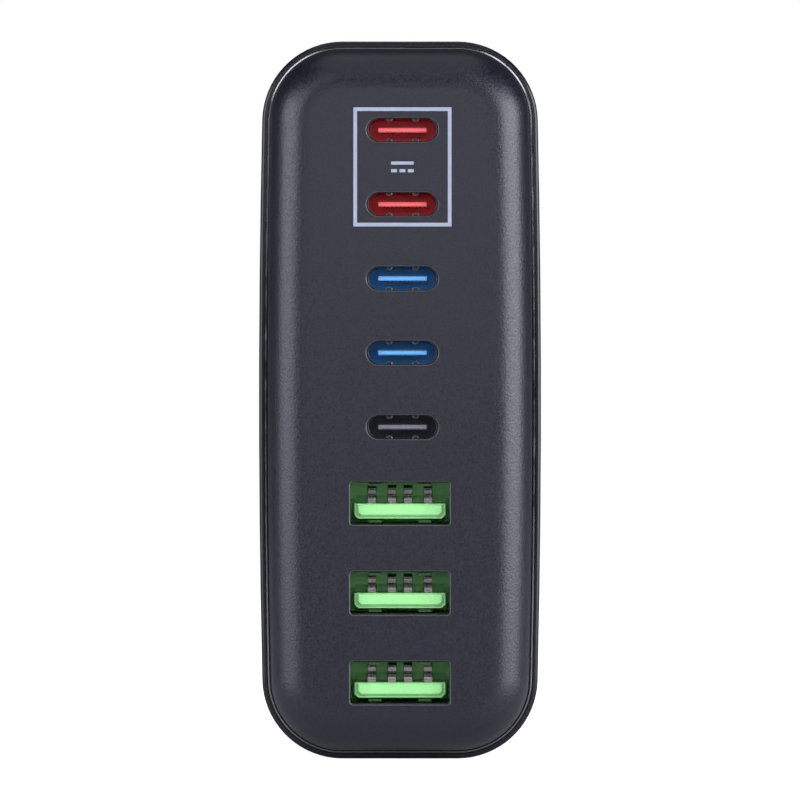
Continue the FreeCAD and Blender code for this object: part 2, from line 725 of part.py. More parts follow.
def plug():
    body = new_body("PlugInsert", "plug_insert")
    sketch = front_sketch(body, "InsertFace", "0")
    round_rectangle(
        sketch,
        "0",
        "blade_rise",
        "insert_width - 2 * insert_fit",
        "insert_height - 2 * insert_fit",
        "insert_corner - insert_fit",
    )
    pad(body, "InsertBlock", sketch, "back_wall")
    sketch = front_sketch(body, "FlangeFace", "back_wall")
    round_rectangle(
        sketch,
        "0",
        "blade_rise",
        "insert_width + 2 * flange_reach",
        "insert_height + 2 * flange_reach",
        "insert_corner + flange_reach",
    )
    pad(body, "Flange", sketch, "flange_thickness")
    # The insert is moulded round the blades, so its slots are the blades' own size
    sketch = front_sketch(body, "BladeSlots", "0")
    for side in ("-", ""):
        rectangle(
            sketch,
            around(f"{side}blade_spread / 2", "blade_thickness"),
            around("blade_rise", "blade_height"),
        )
    pocket(body, "Slots", sketch, "2 * (back_wall + flange_thickness)", forwards=True)
    inner = "(back_wall + flange_thickness + tail_length)"
    blade("LineBlade", "line_blade", "-blade_spread / 2", f"({inner} + tail_step)")
    blade("NeutralBlade", "neutral_blade", "blade_spread / 2", inner)
    # Strips from the right-hand sides of the tails to the main board
    reach = f"({inner} + tail_step)"
    keep(
        block(
            "LineStrip",
            ("-blade_spread / 2 + blade_thickness / 2", BOARD_FACE),
            (f"{reach} - strip_depth", reach),
            around("blade_rise", "strip_height"),
        ),
        "line_strip",
    )
    keep(
        block(
            "NeutralStrip",
            ("blade_spread / 2 + blade_thickness / 2", BOARD_FACE),
            (f"{inner} - strip_depth", inner),
            around("blade_rise", "strip_height"),
        ),
        "neutral_strip",
    )


def blade(name, label, x, inner):
    """A flat blade with a hole, rounded at its tip, and a tail inside the charger."""
    body = new_body(name, label)
    sketch = new_sketch(body, f"{name}Side", "YZ_Plane", f"{x} - blade_thickness / 2")
    rectangle(sketch, (f"-{inner}", "blade_length"), around("blade_rise", "blade_height"))
    pad(body, f"{name}Plate", sketch, "blade_thickness")
    tip = value("blade_length")

    def tip_corner(edge):
        box = edge.BoundBox
        return abs(box.YMin - tip) < 1e-4 and box.XLength > 1e-3 and box.ZLength < 1e-3

    fillet(body, f"{name}Tip", "blade_corner", tip_corner)

    def tip_side(edge):
        box = edge.BoundBox
        return box.YMin > tip - 1e-4 and box.XLength < 1e-3 and box.ZLength > 1e-3

    chamfer(body, f"{name}Bevel", "blade_chamfer", tip_side)
    sketch = new_sketch(body, f"{name}HoleOutline", "YZ_Plane", f"{x} + blade_thickness / 2")
    sketch.addGeometry(
        Part.Circle(
            vector(value("blade_hole_setback"), value("blade_rise")),
            FreeCAD.Vector(0, 0, 1),
            value("blade_hole_radius"),
        ),
        False,
    )
    constrain(sketch, "blade_hole_radius", "Radius", 0)
    pin(sketch, "X", 0, 3, "blade_hole_setback")
    pin(sketch, "Y", 0, 3, "blade_rise")
    pocket(body, f"{name}Hole", sketch, "2 * blade_thickness")


# Ports


def oval_port(index):
    number = index + 1
    x = "oval_shift"
    z = oval_z(index)
    inner_width = "oval_width - 2 * oval_wall"
    inner_height = "oval_height - 2 * oval_wall"
    body = new_body(f"OvalShell{number}", f"oval_port_{number}_shell")
    sketch = front_sketch(body, f"OvalShellOutline{number}", PORT_BOARD_FRONT)
    obround(sketch, x, z, "oval_width", "oval_height")
    obround(sketch, x, z, inner_width, inner_height)
    pad(body, f"OvalTube{number}", sketch, "port_length")
    mouth = value(MOUTH)
    fillet(body, f"OvalMouth{number}", "mouth_radius", lambda edge: at_depth(edge, mouth))
    sketch = front_sketch(body, f"DimpleOutline{number}", f"{MOUTH} - dimple_setback")
    rim = "(oval_height / 2 - oval_wall / 2)"
    tip = "(oval_height / 2 - oval_wall - dimple_height)"
    for side in ("-", "+"):
        across = around(f"{x} {side} dimple_offset", "dimple_width")
        rectangle(sketch, across, (f"{z} + {tip}", f"{z} + {rim}"))
        rectangle(sketch, across, (f"{z} - {rim}", f"{z} - {tip}"))
    pad(body, f"Dimples{number}", sketch, "dimple_length", backwards=True)
    dimple_front = value(f"{MOUTH} - dimple_setback")
    reach = value(tip)
    middle = value(z)

    def dimple_tip(edge):
        box = edge.BoundBox
        return max(abs(box.ZMin - middle), abs(box.ZMax - middle)) < reach + 1e-3

    fillet(
        body,
        f"DimpleSides{number}",
        "dimple_round",
        lambda edge: dimple_tip(edge) and edge.BoundBox.YLength > 1e-3,
    )
    fillet(
        body,
        f"DimpleNoses{number}",
        "dimple_nose",
        lambda edge: dimple_tip(edge) and at_depth(edge, dimple_front),
    )

    base_front = f"({MOUTH} - oval_base_depth)"
    tongue_tip = f"({MOUTH} - oval_tongue_setback)"
    body = new_body(f"OvalInsulator{number}", f"oval_port_{number}_insulator")
    sketch = front_sketch(body, f"OvalBaseOutline{number}", PORT_BOARD_FRONT)
    obround(sketch, x, z, f"{inner_width} - 2 * port_fit", f"{inner_height} - 2 * port_fit")
    pad(body, f"OvalBase{number}", sketch, f"{base_front} - {PORT_BOARD_FRONT}")
    sketch = front_sketch(body, f"OvalStepOutline{number}", base_front)
    rectangle(sketch, around(x, "oval_tongue_width"), around(z, "oval_step_thickness"))
    pad(body, f"OvalStep{number}", sketch, "oval_step_length")
    sketch = front_sketch(body, f"OvalTongueOutline{number}", base_front)
    rectangle(sketch, around(x, "oval_tongue_width"), around(z, "oval_tongue_thickness"))
    pad(body, f"OvalTongue{number}", sketch, f"{tongue_tip} - {base_front}")
    tip_depth = value(tongue_tip)
    chamfer(
        body,
        f"OvalTip{number}",
        "oval_tongue_chamfer",
        lambda edge: at_depth(edge, tip_depth),
    )

    strips = []
    for strip in range(OVAL_CONTACTS):
        across = around(
            f"{x} + {strip - (OVAL_CONTACTS - 1) / 2} * oval_contact_pitch",
            "oval_contact_width",
        )
        depth = (f"{base_front} + oval_step_length", f"{tongue_tip} - oval_contact_setback")
        face = "oval_tongue_thickness / 2"
        outer = "(oval_tongue_thickness / 2 + oval_contact_thickness)"
        above = (f"{z} + {face}", f"{z} + {outer}")
        below = (f"{z} - {outer}", f"{z} - {face}")
        strips.append(block(f"OvalUpper{number}_{strip}", across, depth, above))
        strips.append(block(f"OvalLower{number}_{strip}", across, depth, below))
    keep(group(f"OvalContacts{number}", strips), f"oval_port_{number}_contacts")


def tongue_outline(sketch, half, low, top):
    """A wide tongue seen from the front, with its lower corners cut off."""
    inset = f"({half} - wide_tongue_corner)"
    corner = f"({low} + wide_tongue_corner)"
    polygon(
        sketch,
        [
            (f"-{inset}", low),
            (inset, low),
            (half, corner),
            (half, top),
            (f"-{half}", top),
            (f"-{half}", corner),
        ],
    )


def wide_port(index):
    number = index + 1
    z = wide_z(index)
    body = new_body(f"WideShell{number}", f"wide_port_{number}_shell")
    sketch = front_sketch(body, f"WideShellOutline{number}", PORT_BOARD_FRONT)
    round_rectangle(
        sketch,
        "0",
        z,
        "wide_inner_width + 2 * wide_wall",
        "wide_inner_height + 2 * wide_wall",
        "wide_corner + wide_wall",
    )
    round_rectangle(sketch, "0", z, "wide_inner_width", "wide_inner_height", "wide_corner")
    pad(body, f"WideTube{number}", sketch, "port_length")
    mouth = value(MOUTH)
    fillet(body, f"WideMouth{number}", "mouth_radius", lambda edge: at_depth(edge, mouth))
    # Slits that leave room for the spring leaves, through both flat walls
    top = f"({z} + wide_inner_height / 2 + wide_wall)"
    front = f"({MOUTH} - leaf_setback)"
    sketch = new_sketch(body, f"SlitOutline{number}", "XY_Plane", top)
    for side in ("-leaf_offset", "leaf_offset"):
        rectangle(
            sketch,
            around(side, "leaf_width + 2 * leaf_slit"),
            (f"-{front}", f"-({front} - leaf_length)"),
        )
    pocket(body, f"Slits{number}", sketch, "wide_inner_height + 2 * wide_wall")
    # Each leaf grows from the rear end of its slit and leans into the mouth
    for side, x in (("Left", "-leaf_offset"), ("Right", "leaf_offset")):
        sketch = new_sketch(
            body, f"{side}LeafOutline{number}", "YZ_Plane", f"{x} - leaf_width / 2"
        )
        for sign in ("+", "-"):
            inner = f"{z} {sign} wide_inner_height / 2"
            root = f"-({front} - leaf_length)"
            tip = f"-({front} - 2 * leaf_slit)"
            polygon(
                sketch,
                [
                    (root, inner),
                    (root, f"{inner} {sign} wide_wall"),
                    (tip, f"{inner} {sign} wide_wall {sign} (-leaf_drop)"),
                    (tip, f"{inner} {sign} (-leaf_drop)"),
                ],
            )
        pad(body, f"{side}Leaves{number}", sketch, "leaf_width")

    base_front = f"({MOUTH} - wide_base_depth)"
    tongue_tip = f"({MOUTH} - wide_tongue_setback)"
    tongue_low = f"({z} - wide_inner_height / 2 + wide_tongue_drop)"
    tongue_top = f"({tongue_low} + wide_tongue_thickness)"
    body = new_body(f"WideInsulator{number}", f"wide_port_{number}_insulator")
    sketch = front_sketch(body, f"WideBaseOutline{number}", PORT_BOARD_FRONT)
    round_rectangle(
        sketch,
        "0",
        z,
        "wide_inner_width - 2 * port_fit",
        "wide_inner_height - 2 * port_fit",
        "wide_corner",
    )
    pad(body, f"WideBase{number}", sketch, f"{base_front} - {PORT_BOARD_FRONT}")
    # The tongue ends in a shoulder, and a smaller tip stands in front of it
    shoulder_depth = f"({tongue_tip} - wide_tip_length)"
    half = "(wide_tongue_width / 2)"
    sketch = front_sketch(body, f"WideTongueOutline{number}", base_front)
    tongue_outline(sketch, half, tongue_low, tongue_top)
    pad(body, f"WideTongue{number}", sketch, f"{shoulder_depth} - {base_front}")
    sketch = front_sketch(body, f"WideTipOutline{number}", shoulder_depth)
    tongue_outline(
        sketch, f"({half} - wide_tip_inset)", f"({tongue_low} + wide_tip_inset)", tongue_top
    )
    pad(body, f"WideTip{number}", sketch, "wide_tip_length")
    tip_depth = value(tongue_tip)
    chamfer(
        body, f"WideTipEdges{number}", "wide_tip_chamfer", lambda edge: at_depth(edge, tip_depth)
    )
    offsets = [
        "-outer_contact_offset",
        "-inner_contact_offset",
        "inner_contact_offset",
        "outer_contact_offset",
    ]
    sketch = front_sketch(body, f"WideSlotOutline{number}", base_front)
    for x in offsets:
        rectangle(
            sketch, around(x, "wide_slot_width"), (tongue_top, f"{tongue_top} + wide_slot_height")
        )
    pocket(body, f"WideSlots{number}", sketch, "port_length")
    sketch = front_sketch(body, f"WideRecessOutline{number}", base_front)
    recess = (tongue_top, f"{tongue_top} + wide_recess_height")
    rectangle(sketch, around("0", "wide_tongue_width"), recess)
    pocket(body, f"WideRecess{number}", sketch, "wide_recess_depth")
    sketch = front_sketch(body, f"WideUnderOutline{number}", base_front)
    side = "(wide_inner_width / 2)"
    under = f"({z} - wide_inner_height / 2)"
    over = f"({tongue_top} + wide_shoulder)"
    polygon(
        sketch,
        [
            (f"-{side}", under),
            (side, under),
            (side, over),
            (half, over),
            (half, tongue_low),
            (f"-{half}", tongue_low),
            (f"-{half}", over),
            (f"-{side}", over),
        ],
    )
    pocket(body, f"WideUnder{number}", sketch, "wide_under_depth")

    strips = []
    for place, x in enumerate(offsets):
        across = around(x, "wide_contact_width")
        level = (tongue_top, f"{tongue_top} + wide_contact_thickness")
        end = f"({tongue_tip} - wide_contact_setback)"
        stand = f"({base_front} - riser_setback)"
        hump_front = f"({end} - hump_setback)"
        pieces = [
            block(f"WideStrip{number}_{place}", across, (PORT_BOARD_FRONT, end), level),
            block(
                f"WideRiser{number}_{place}",
                across,
                (f"{stand} - wide_contact_thickness", stand),
                (tongue_top, f"{tongue_top} + riser_height"),
            ),
            block(
                f"WideHump{number}_{place}",
                across,
                (f"{hump_front} - hump_length", hump_front),
                (tongue_top, f"{tongue_top} + hump_height"),
            ),
            rod(
                f"WideUpperRoll{number}_{place}",
                "roll_radius",
                across,
                stand,
                f"{tongue_top} + riser_height - roll_radius",
            ),
            rod(
                f"WideLowerRoll{number}_{place}",
                "roll_radius",
                across,
                stand,
                f"{tongue_top} + roll_height",
            ),
        ]
        strips.append(fuse(f"WideContact{number}_{place}", pieces))
    keep(group(f"WideContacts{number}", strips), f"wide_port_{number}_contacts")


# Boards and components



def core_height(kind):
    """Height of a wound core: its middle leg, two windows and two outer legs."""
    return f"({kind}_leg + 2 * ({kind}_window + {kind}_outer_leg))"


# Rows of components from the top of the main board to its bottom, with their heights
ROWS = [
    ("discs", "2 * disc_radius"),
    ("filter", "2 * choke_radius"),
    ("bridge", "bridge_thickness"),
    ("boost", core_height("boost")),
    ("card", "(card_thickness + chip_thickness)"),
    ("transformer", core_height("transformer")),
    ("output", "2 * output_radius"),
]
ROW_SPACE = " + ".join(height for _, height in ROWS)
ROW_GAP = f"((2 * {BOARD_TOP} - ({ROW_SPACE})) / {len(ROWS) + 1})"
row_z = {}
above_rows = "0"
for place, (row_name, row_height) in enumerate(ROWS, start=1):
    row_z[row_name] = f"({BOARD_TOP} - {place} * {ROW_GAP} - ({above_rows}) - ({row_height}) / 2)"
    above_rows = f"{above_rows} + {row_height}"

# Two columns of components in depth, evenly spaced between the back wall and the port board
WINDING_REACH = "(transformer_window - bobbin_fit)"
BULKY_DEPTH = f"(transformer_depth + 2 * {WINDING_REACH})"
COLUMN_GAP = f"(({PARTS_FRONT} - {BOARD_BACK} - 2 * bulk_radius - {BULKY_DEPTH}) / 3)"
REAR_COLUMN = f"({BOARD_BACK} + {COLUMN_GAP} + bulk_radius)"
FRONT_COLUMN = f"({PARTS_FRONT} - {COLUMN_GAP} - {BULKY_DEPTH} / 2)"

# Heat path from the transformer towards the left wall
PAD_INNER = f"({BOARD_FACE} - transformer_tall)"
SHEET_INNER = f"({PAD_INNER} - pad_thickness)"
SPREADER_INNER = f"({SHEET_INNER} - sheet_thickness)"
SPREADER_OUTER = f"({SPREADER_INNER} - spreader_thickness)"
SPREADER_BACK = "(back_wall + flange_thickness + part_gap)"
SPREADER_FRONT = f"({PARTS_FRONT} - part_gap)"
SPREADER_TOP = f"({BOARD_TOP} - spreader_margin)"


def standing(tall):
    """Limits across for a component that stands on the main board."""
    return (f"{BOARD_FACE} - {tall}", BOARD_FACE)


def boards():
    keep(
        block(
            "MainBoard",
            (BOARD_FACE, BOARD_OUTER),
            (BOARD_BACK, PORT_BOARD_BACK),
            (f"-{BOARD_TOP}", BOARD_TOP),
        ),
        "main_board",
    )
    body = new_body("PortBoard", "port_board")
    sketch = front_sketch(body, "PortBoardOutline", PORT_BOARD_BACK)
    outline(sketch, "shell_wall + port_board_margin")
    pad(body, "PortBoardPlate", sketch, "board_thickness")
    z = row_z["card"]
    low = f"({z} - (card_thickness + chip_thickness) / 2)"
    card_depth = around(FRONT_COLUMN, "card_length")
    keep(
        block("ControlCard", standing("card_tall"), card_depth, (low, f"{low} + card_thickness")),
        "control_card",
    )
    chips = []
    for number, side in enumerate(("-", "+")):
        chips.append(
            block(
                f"PowerTransistor{number}",
                around(f"{BOARD_FACE} - card_tall / 2", "chip_size"),
                around(f"{FRONT_COLUMN} {side} (chip_size + part_gap) / 2", "chip_size"),
                (f"{low} + card_thickness", f"{low} + card_thickness + chip_thickness"),
            )
        )
    keep(group("PowerTransistors", chips), "power_transistors")


def disc_component(name, label, radius, depth, z):
    """A dipped disc held above the main board by two leads."""
    x = f"({BOARD_FACE} - lead_rise - {radius})"
    shapes = [disc(f"{name}Disc", radius, x, around(depth, "disc_thickness"), z)]
    for number, side in enumerate(("-", "+")):
        shapes.append(
            rod(
                f"{name}Lead{number}",
                "lead_radius",
                (x, BOARD_FACE),
                depth,
                f"{z} {side} lead_spread / 2",
            )
        )
    keep(fuse(name, shapes), label)


def input_parts():
    above_plug = "(blade_rise + insert_height / 2 + flange_reach)"
    below_plug = "(blade_rise - insert_height / 2 - flange_reach)"
    keep(
        rod(
            "Fuse",
            "fuse_radius",
            standing("fuse_length"),
            REAR_COLUMN,
            f"({BOARD_TOP} + {above_plug}) / 2",
        ),
        "fuse",
    )
    thermistor = f"({PARTS_FRONT} - part_gap - disc_thickness / 2)"
    disc_component("Thermistor", "inrush_thermistor", "disc_radius", thermistor, row_z["discs"])
    varistor = f"({thermistor} - disc_pitch)"
    disc_component("Varistor", "surge_varistor", "disc_radius", varistor, row_z["discs"])
    # Filter choke, with the film capacitor behind it
    z = row_z["filter"]
    choke = f"({PARTS_FRONT} - part_gap - choke_radius)"
    film = f"({choke} - choke_radius - part_gap - film_width / 2)"
    keep(
        block(
            "FilmCapacitor",
            standing("film_tall"),
            around(film, "film_width"),
            around(z, "film_length"),
        ),
        "line_filter_capacitor",
    )
    ring = (f"{BOARD_FACE} - choke_tall + choke_wire", f"{BOARD_FACE} - choke_wire")
    core = cut(
        "ChokeCore",
        rod("ChokeCoreOuter", "choke_radius - choke_wire", ring, choke, z),
        rod("ChokeCoreBore", "choke_bore + choke_wire", ring, choke, z),
    )
    keep(core, "filter_choke_core")
    wound = standing("choke_tall")
    sleeve = cut(
        "ChokeSleeve",
        rod("ChokeWindingOuter", "choke_radius", wound, choke, z),
        rod("ChokeWindingBore", "choke_bore", wound, choke, z),
    )
    hollow = cut("ChokeHollow", sleeve, core)
    split = block(
        "ChokeSplit", wound, around(choke, "2 * choke_radius"), around(z, "choke_split")
    )
    keep(cut("ChokeWindings", hollow, split), "filter_choke_windings")
    keep(
        block(
            "Bridge",
            standing("bridge_tall"),
            around(FRONT_COLUMN, "bridge_length"),
            around(row_z["bridge"], "bridge_thickness"),
        ),
        "bridge_rectifier",
    )
    # Bulk capacitors and the safety capacitor below the plug, evenly spaced
    space = f"({below_plug} + {BOARD_TOP} - 6 * bulk_radius - 2 * safety_radius) / 5"
    for number in range(3):
        z = f"({below_plug} - {number + 1} * ({space}) - {2 * number + 1} * bulk_radius)"
        keep(
            rod(f"Bulk{number}", "bulk_radius", standing("bulk_length"), REAR_COLUMN, z),
            f"bulk_capacitor_{number + 1}",
        )
    z = f"(-{BOARD_TOP} + {space} + safety_radius)"
    disc_component("Safety", "safety_capacitor", "safety_radius", REAR_COLUMN, z)


def wound_core(name, kind, z):
    """The core of a wound part: a block with two windows either side of its middle leg."""
    body = block(
        f"{name}Block",
        standing(f"{kind}_tall"),
        around(FRONT_COLUMN, f"{kind}_depth"),
        around(z, core_height(kind)),
    )
    window = (
        f"{BOARD_FACE} - {kind}_tall + {kind}_yoke",
        f"{BOARD_FACE} - {kind}_yoke",
    )
    outer = f"({kind}_leg / 2 + {kind}_window)"
    upper = block(
        f"{name}Upper",
        window,
        around(FRONT_COLUMN, f"{kind}_depth"),
        (f"{z} + {kind}_leg / 2", f"{z} + {outer}"),
    )
    lower = block(
        f"{name}Lower",
        window,
        around(FRONT_COLUMN, f"{kind}_depth"),
        (f"{z} - ({outer})", f"{z} - {kind}_leg / 2"),
    )
    return window, cut(f"{name}Core", body, fuse(f"{name}Windows", [upper, lower]))


def collar(name, x, depth, z, reach):
    """A box about the middle leg that stands a reach beyond its given depth and height."""
    return block(
        name,
        x,
        around(FRONT_COLUMN, f"{depth} + 2 * ({reach})"),
        around(z[0], f"{z[1]} + 2 * ({reach})"),
    )


def power_parts():
    z = row_z["boost"]
    window, core = wound_core("Boost", "boost", z)
    keep(core, "boost_inductor_core")
    leg = (z, "boost_leg")
    reach = "boost_window - bobbin_fit"
    winding = cut(
        "BoostWinding",
        collar("BoostCoil", window, "boost_depth", leg, reach),
        collar("BoostLeg", window, "boost_depth", leg, "0"),
    )
    keep(winding, "boost_inductor_winding")

    z = row_z["transformer"]
    window, core = wound_core("Transformer", "transformer", z)
    keep(core, "transformer_core")
    leg = (z, "transformer_leg")
    depth = "transformer_depth"
    barrel = "bobbin_fit + bobbin_wall"
    between = (f"{window[0]} + bobbin_flange", f"{window[1]} - bobbin_flange")
    spool = cut(
        "BobbinSpool",
        collar("BobbinBlock", window, depth, leg, WINDING_REACH),
        collar("BobbinHole", window, depth, leg, "bobbin_fit"),
    )
    groove = cut(
        "BobbinGroove",
        collar("GrooveBlock", between, depth, leg, f"2 * {WINDING_REACH}"),
        collar("GrooveBarrel", between, depth, leg, barrel),
    )
    keep(cut("Bobbin", spool, groove), "transformer_bobbin")
    winding = cut(
        "TransformerWinding",
        collar("TransformerCoil", between, depth, leg, f"{WINDING_REACH} - bobbin_fit"),
        collar("TransformerBarrel", between, depth, leg, barrel),
    )
    keep(winding, "transformer_winding")

    cans = []
    for number in range(3):
        depth = f"({FRONT_COLUMN} + {number - 1} * (2 * output_radius + part_gap))"
        cans.append(
            rod(
                f"Output{number}",
                "output_radius",
                standing("output_length"),
                depth,
                row_z["output"],
            )
        )
    keep(group("OutputCapacitors", cans), "output_capacitors")


def heat_path():
    keep(
        block(
            "GapPad",
            (SHEET_INNER, PAD_INNER),
            around(FRONT_COLUMN, "transformer_depth"),
            around(row_z["transformer"], core_height("transformer")),
        ),
        "gap_pad",
    )
    layer_depth = (SPREADER_BACK, SPREADER_FRONT)
    layer_z = (f"-{SPREADER_TOP}", SPREADER_TOP)
    keep(
        block("InsulationSheet", (SPREADER_INNER, SHEET_INNER), layer_depth, layer_z),
        "insulation_sheet",
    )
    keep(
        block("HeatSpreader", (SPREADER_OUTER, SPREADER_INNER), layer_depth, layer_z),
        "heat_spreader",
    )


def port_board_parts():
    heights = [oval_z(index) for index in range(OVAL_PORTS)]
    heights += [wide_z(index) for index in range(WIDE_PORTS)]
    left = "(shell_wall + port_board_margin + buck_margin - body_width / 2)"
    chip_left = f"({left} + buck_size + controller_gap)"
    coils = []
    chips = []
    for number, z in enumerate(heights):
        coils.append(
            block(
                f"Buck{number}",
                (left, f"{left} + buck_size"),
                (f"{PORT_BOARD_BACK} - buck_tall", PORT_BOARD_BACK),
                around(z, "buck_size"),
            )
        )
        chips.append(
            block(
                f"Controller{number}",
                (chip_left, f"{chip_left} + controller_size"),
                (f"{PORT_BOARD_BACK} - chip_thickness", PORT_BOARD_BACK),
                around(z, "controller_size"),
            )
        )
    keep(group("BuckInductors", coils), "buck_inductors")
    keep(group("PortControllers", chips), "port_controllers")


def check_and_export():
    doc.recompute()
    for thing in doc.Objects:
        bad = [state for state in thing.State if state in ("Invalid", "Error")]
        if bad:
            raise RuntimeError(f"{thing.Label}: {bad}")
    os.makedirs("parts", exist_ok=True)
    for label, thing in parts.items():
        shape = thing.Shape
        if shape.isNull() or not shape.isValid():
            raise RuntimeError(f"{label} has no valid shape")
        shape.exportStep(f"parts/{label}.step")
    print(f"{len(parts)} sub-parts written")


rear_shell()
trim_ring()
front_cover()
plug()
for port_index in range(OVAL_PORTS):
    oval_port(port_index)
for port_index in range(WIDE_PORTS):
    wide_port(port_index)
boards()
input_parts()
power_parts()
heat_path()
port_board_parts()
check_and_export()
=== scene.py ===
"""Finishes, printed marks and studio for a tall wall charger with eight ports."""

import math

import bmesh
import bpy
import numpy as np
from bpy.props import FloatProperty, FloatVectorProperty, PointerProperty
from mathutils import Matrix, Vector


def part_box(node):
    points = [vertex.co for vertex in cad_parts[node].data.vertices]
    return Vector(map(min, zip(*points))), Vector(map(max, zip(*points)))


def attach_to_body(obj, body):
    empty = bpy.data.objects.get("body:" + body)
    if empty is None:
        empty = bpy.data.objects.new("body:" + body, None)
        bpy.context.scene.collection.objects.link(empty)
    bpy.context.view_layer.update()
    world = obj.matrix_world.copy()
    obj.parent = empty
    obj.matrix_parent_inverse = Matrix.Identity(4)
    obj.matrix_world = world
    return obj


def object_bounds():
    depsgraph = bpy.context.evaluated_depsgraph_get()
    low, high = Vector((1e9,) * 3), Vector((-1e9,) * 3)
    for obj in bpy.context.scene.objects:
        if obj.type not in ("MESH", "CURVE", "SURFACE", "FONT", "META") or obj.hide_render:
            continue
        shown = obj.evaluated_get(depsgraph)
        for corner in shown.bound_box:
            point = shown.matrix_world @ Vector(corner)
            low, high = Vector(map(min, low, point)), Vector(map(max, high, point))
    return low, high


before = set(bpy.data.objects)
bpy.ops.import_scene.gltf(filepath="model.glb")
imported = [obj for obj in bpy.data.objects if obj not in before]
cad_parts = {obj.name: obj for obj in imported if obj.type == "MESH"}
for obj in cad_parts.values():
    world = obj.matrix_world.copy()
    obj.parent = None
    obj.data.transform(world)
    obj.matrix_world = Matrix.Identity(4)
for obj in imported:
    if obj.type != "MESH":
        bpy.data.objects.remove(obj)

bl_info = {
    "name": "Wall charger finishes",
    "version": (1, 0, 0),
    "blender": (4, 5, 0),
    "location": "3D View > Sidebar > Charger",
    "description": "Gives a wall charger its finishes, printed marks and studio",
    "category": "Object",
}

CAD_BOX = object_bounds()
WHITE = (1, 1, 1, 1)
RED_PORTS = (1, 2)
BLUE_PORTS = (3, 4)
BLACK_PORTS = (5,)
WIDE_PORTS = (1, 2, 3)

# Bands behind a port's mouth, in metres: where a change starts and where it is complete
# TIP_BAND lightens the tongue's tip as painted light, DEEP_BAND darkens the port's base as painted
# shade, and the last two bands give the dimples' noses bare steel, partly wear and partly a painted
# glint
TIP_BAND = (0.0009, 0.0016)
DEEP_BAND = (0.002, 0.005)
STEEL_TINT_BAND = (0.0012, 0.0022)
BARE_GLINT_START = (0.00051, 0.00054)
BARE_GLINT_END = (0.00060, 0.00066)

# Bands behind the front face, and beside and above the port column, for the lighter edges of
# the openings, partly wear and partly a painted highlight
RUBBED_AND_LIT_EDGE = (0.00002, 0.00008)
COLUMN_SIDE = (0.0001, 0.0003)
COLUMN_END = (0.0005, 0.0008)

# Sheen of the two halves of the housing and of the insulators
COVER_IOR = 1.6
REAR_IOR = 1.45
INSULATOR_SHEEN = 0.2

# Strength of the colour on the steel of the oval and the wide ports
OVAL_STRENGTH = 0.6
WIDE_STRENGTH = 0.3

# Boards: tracks and tinned spots in one metre
TRACKS = 420
SPOTS = 300

# Capacitor sleeves: turn at which the stripe begins, and radius at which the film does
STRIPE = (2.66, 2.70)
FILM = (0.0040, 0.0042)

# Print: points across a line and round a bar, a dash against the sign's width, a bar's height
# against the printed line, and the power of a bar's outline
LINE_POINTS = 9
BAR_POINTS = 96
DASH_SHARE = 0.26
BAR_SHARE = 0.85
CORNER_POWER = 20

# Studio: how far behind the front face the lights aim, how nearly a direction points
# backwards where the backdrop is mirrored, and the floor's half width and points
LIGHT_MIDDLE = 0.005
BACKDROP_BAND = (0.88, 1.0)
FLOOR_REACH = 4
FLOOR_POINTS = 9


# Sizes and colours that a user would change


def colour(label, text, value):
    """A colour property in linear light."""
    return FloatVectorProperty(
        name=label, description=text, default=value, subtype="COLOR", min=0, max=1
    )


def length(label, text, value):
    """A length property in metres."""
    return FloatProperty(
        name=label,
        description=text,
        default=value,
        unit="LENGTH",
        subtype="DISTANCE",
        min=0,
        precision=5,
    )


def angle(label, text, degrees):
    """An angle property, written here in degrees."""
    return FloatProperty(
        name=label, description=text, default=math.radians(degrees), subtype="ANGLE"
    )


def share(label, text, value):
    """A property between nothing and one."""
    return FloatProperty(
        name=label, description=text, default=value, subtype="FACTOR", min=0, max=1
    )


def level(label, text, value):
    """A light level, where one is white."""
    return FloatProperty(name=label, description=text, default=value, min=0)


class HousingSettings(bpy.types.PropertyGroup):
    """Finishes of the pieces that are seen from outside."""

    cover_colour: colour("Cover", "Grained front cover", (0.0040, 0.0038, 0.0114))
    cover_roughness: share("Cover roughness", "Between the grains", 0.38)
    grain_size: length("Grain size", "Width of one grain on the cover", 0.00027)
    grain_depth: length("Grain depth", "Height of the grain on the cover", 0.000027)
    # Lighter edges of the openings: partly wear where plugs rub, partly a painted highlight
    rubbed_and_lit_edge_colour: colour("Rubbed edges", "Edges of the openings", (0.12, 0.12, 0.13))
    shell_colour: colour("Rear half", "Glossy rear half", (0.008, 0.008, 0.010))
    shell_roughness: share("Rear roughness", "Gloss of the rear half", 0.22)
    trim_colour: colour("Trim ring", "Bright ring in the seam", (0.20, 0.20, 0.21))
    insert_colour: colour("Plug insert", "Matt plug insert", (0.012, 0.012, 0.014))
    blade_colour: colour("Blades", "Nickel-plated blades", (0.66, 0.63, 0.58))


class PortSettings(bpy.types.PropertyGroup):
    """Colours of the ports."""

    red_colour: colour("Red insulator", "Two upper oval ports", (0.88, 0.024, 0.030))
    blue_colour: colour("Blue insulator", "Two middle oval ports", (0.07, 0.385, 0.86))
    black_colour: colour("Black insulator", "Lowest oval port", (0.096, 0.096, 0.136))
    green_colour: colour("Green insulator", "Wide ports", (0.35, 0.83, 0.30))
    # Bare steel on the dimples' noses: partly wear where plugs rub, partly a painted glint
    rubbed_glint_colour: colour("Port steel", "Rubbed edges of the dimples", (0.45, 0.43, 0.40))
    mouth_colour: colour("Port mouth", "Steel at the mouth", (0.02, 0.02, 0.022))
    contact_colour: colour("Contacts", "Plated contacts", (0.50, 0.48, 0.44))


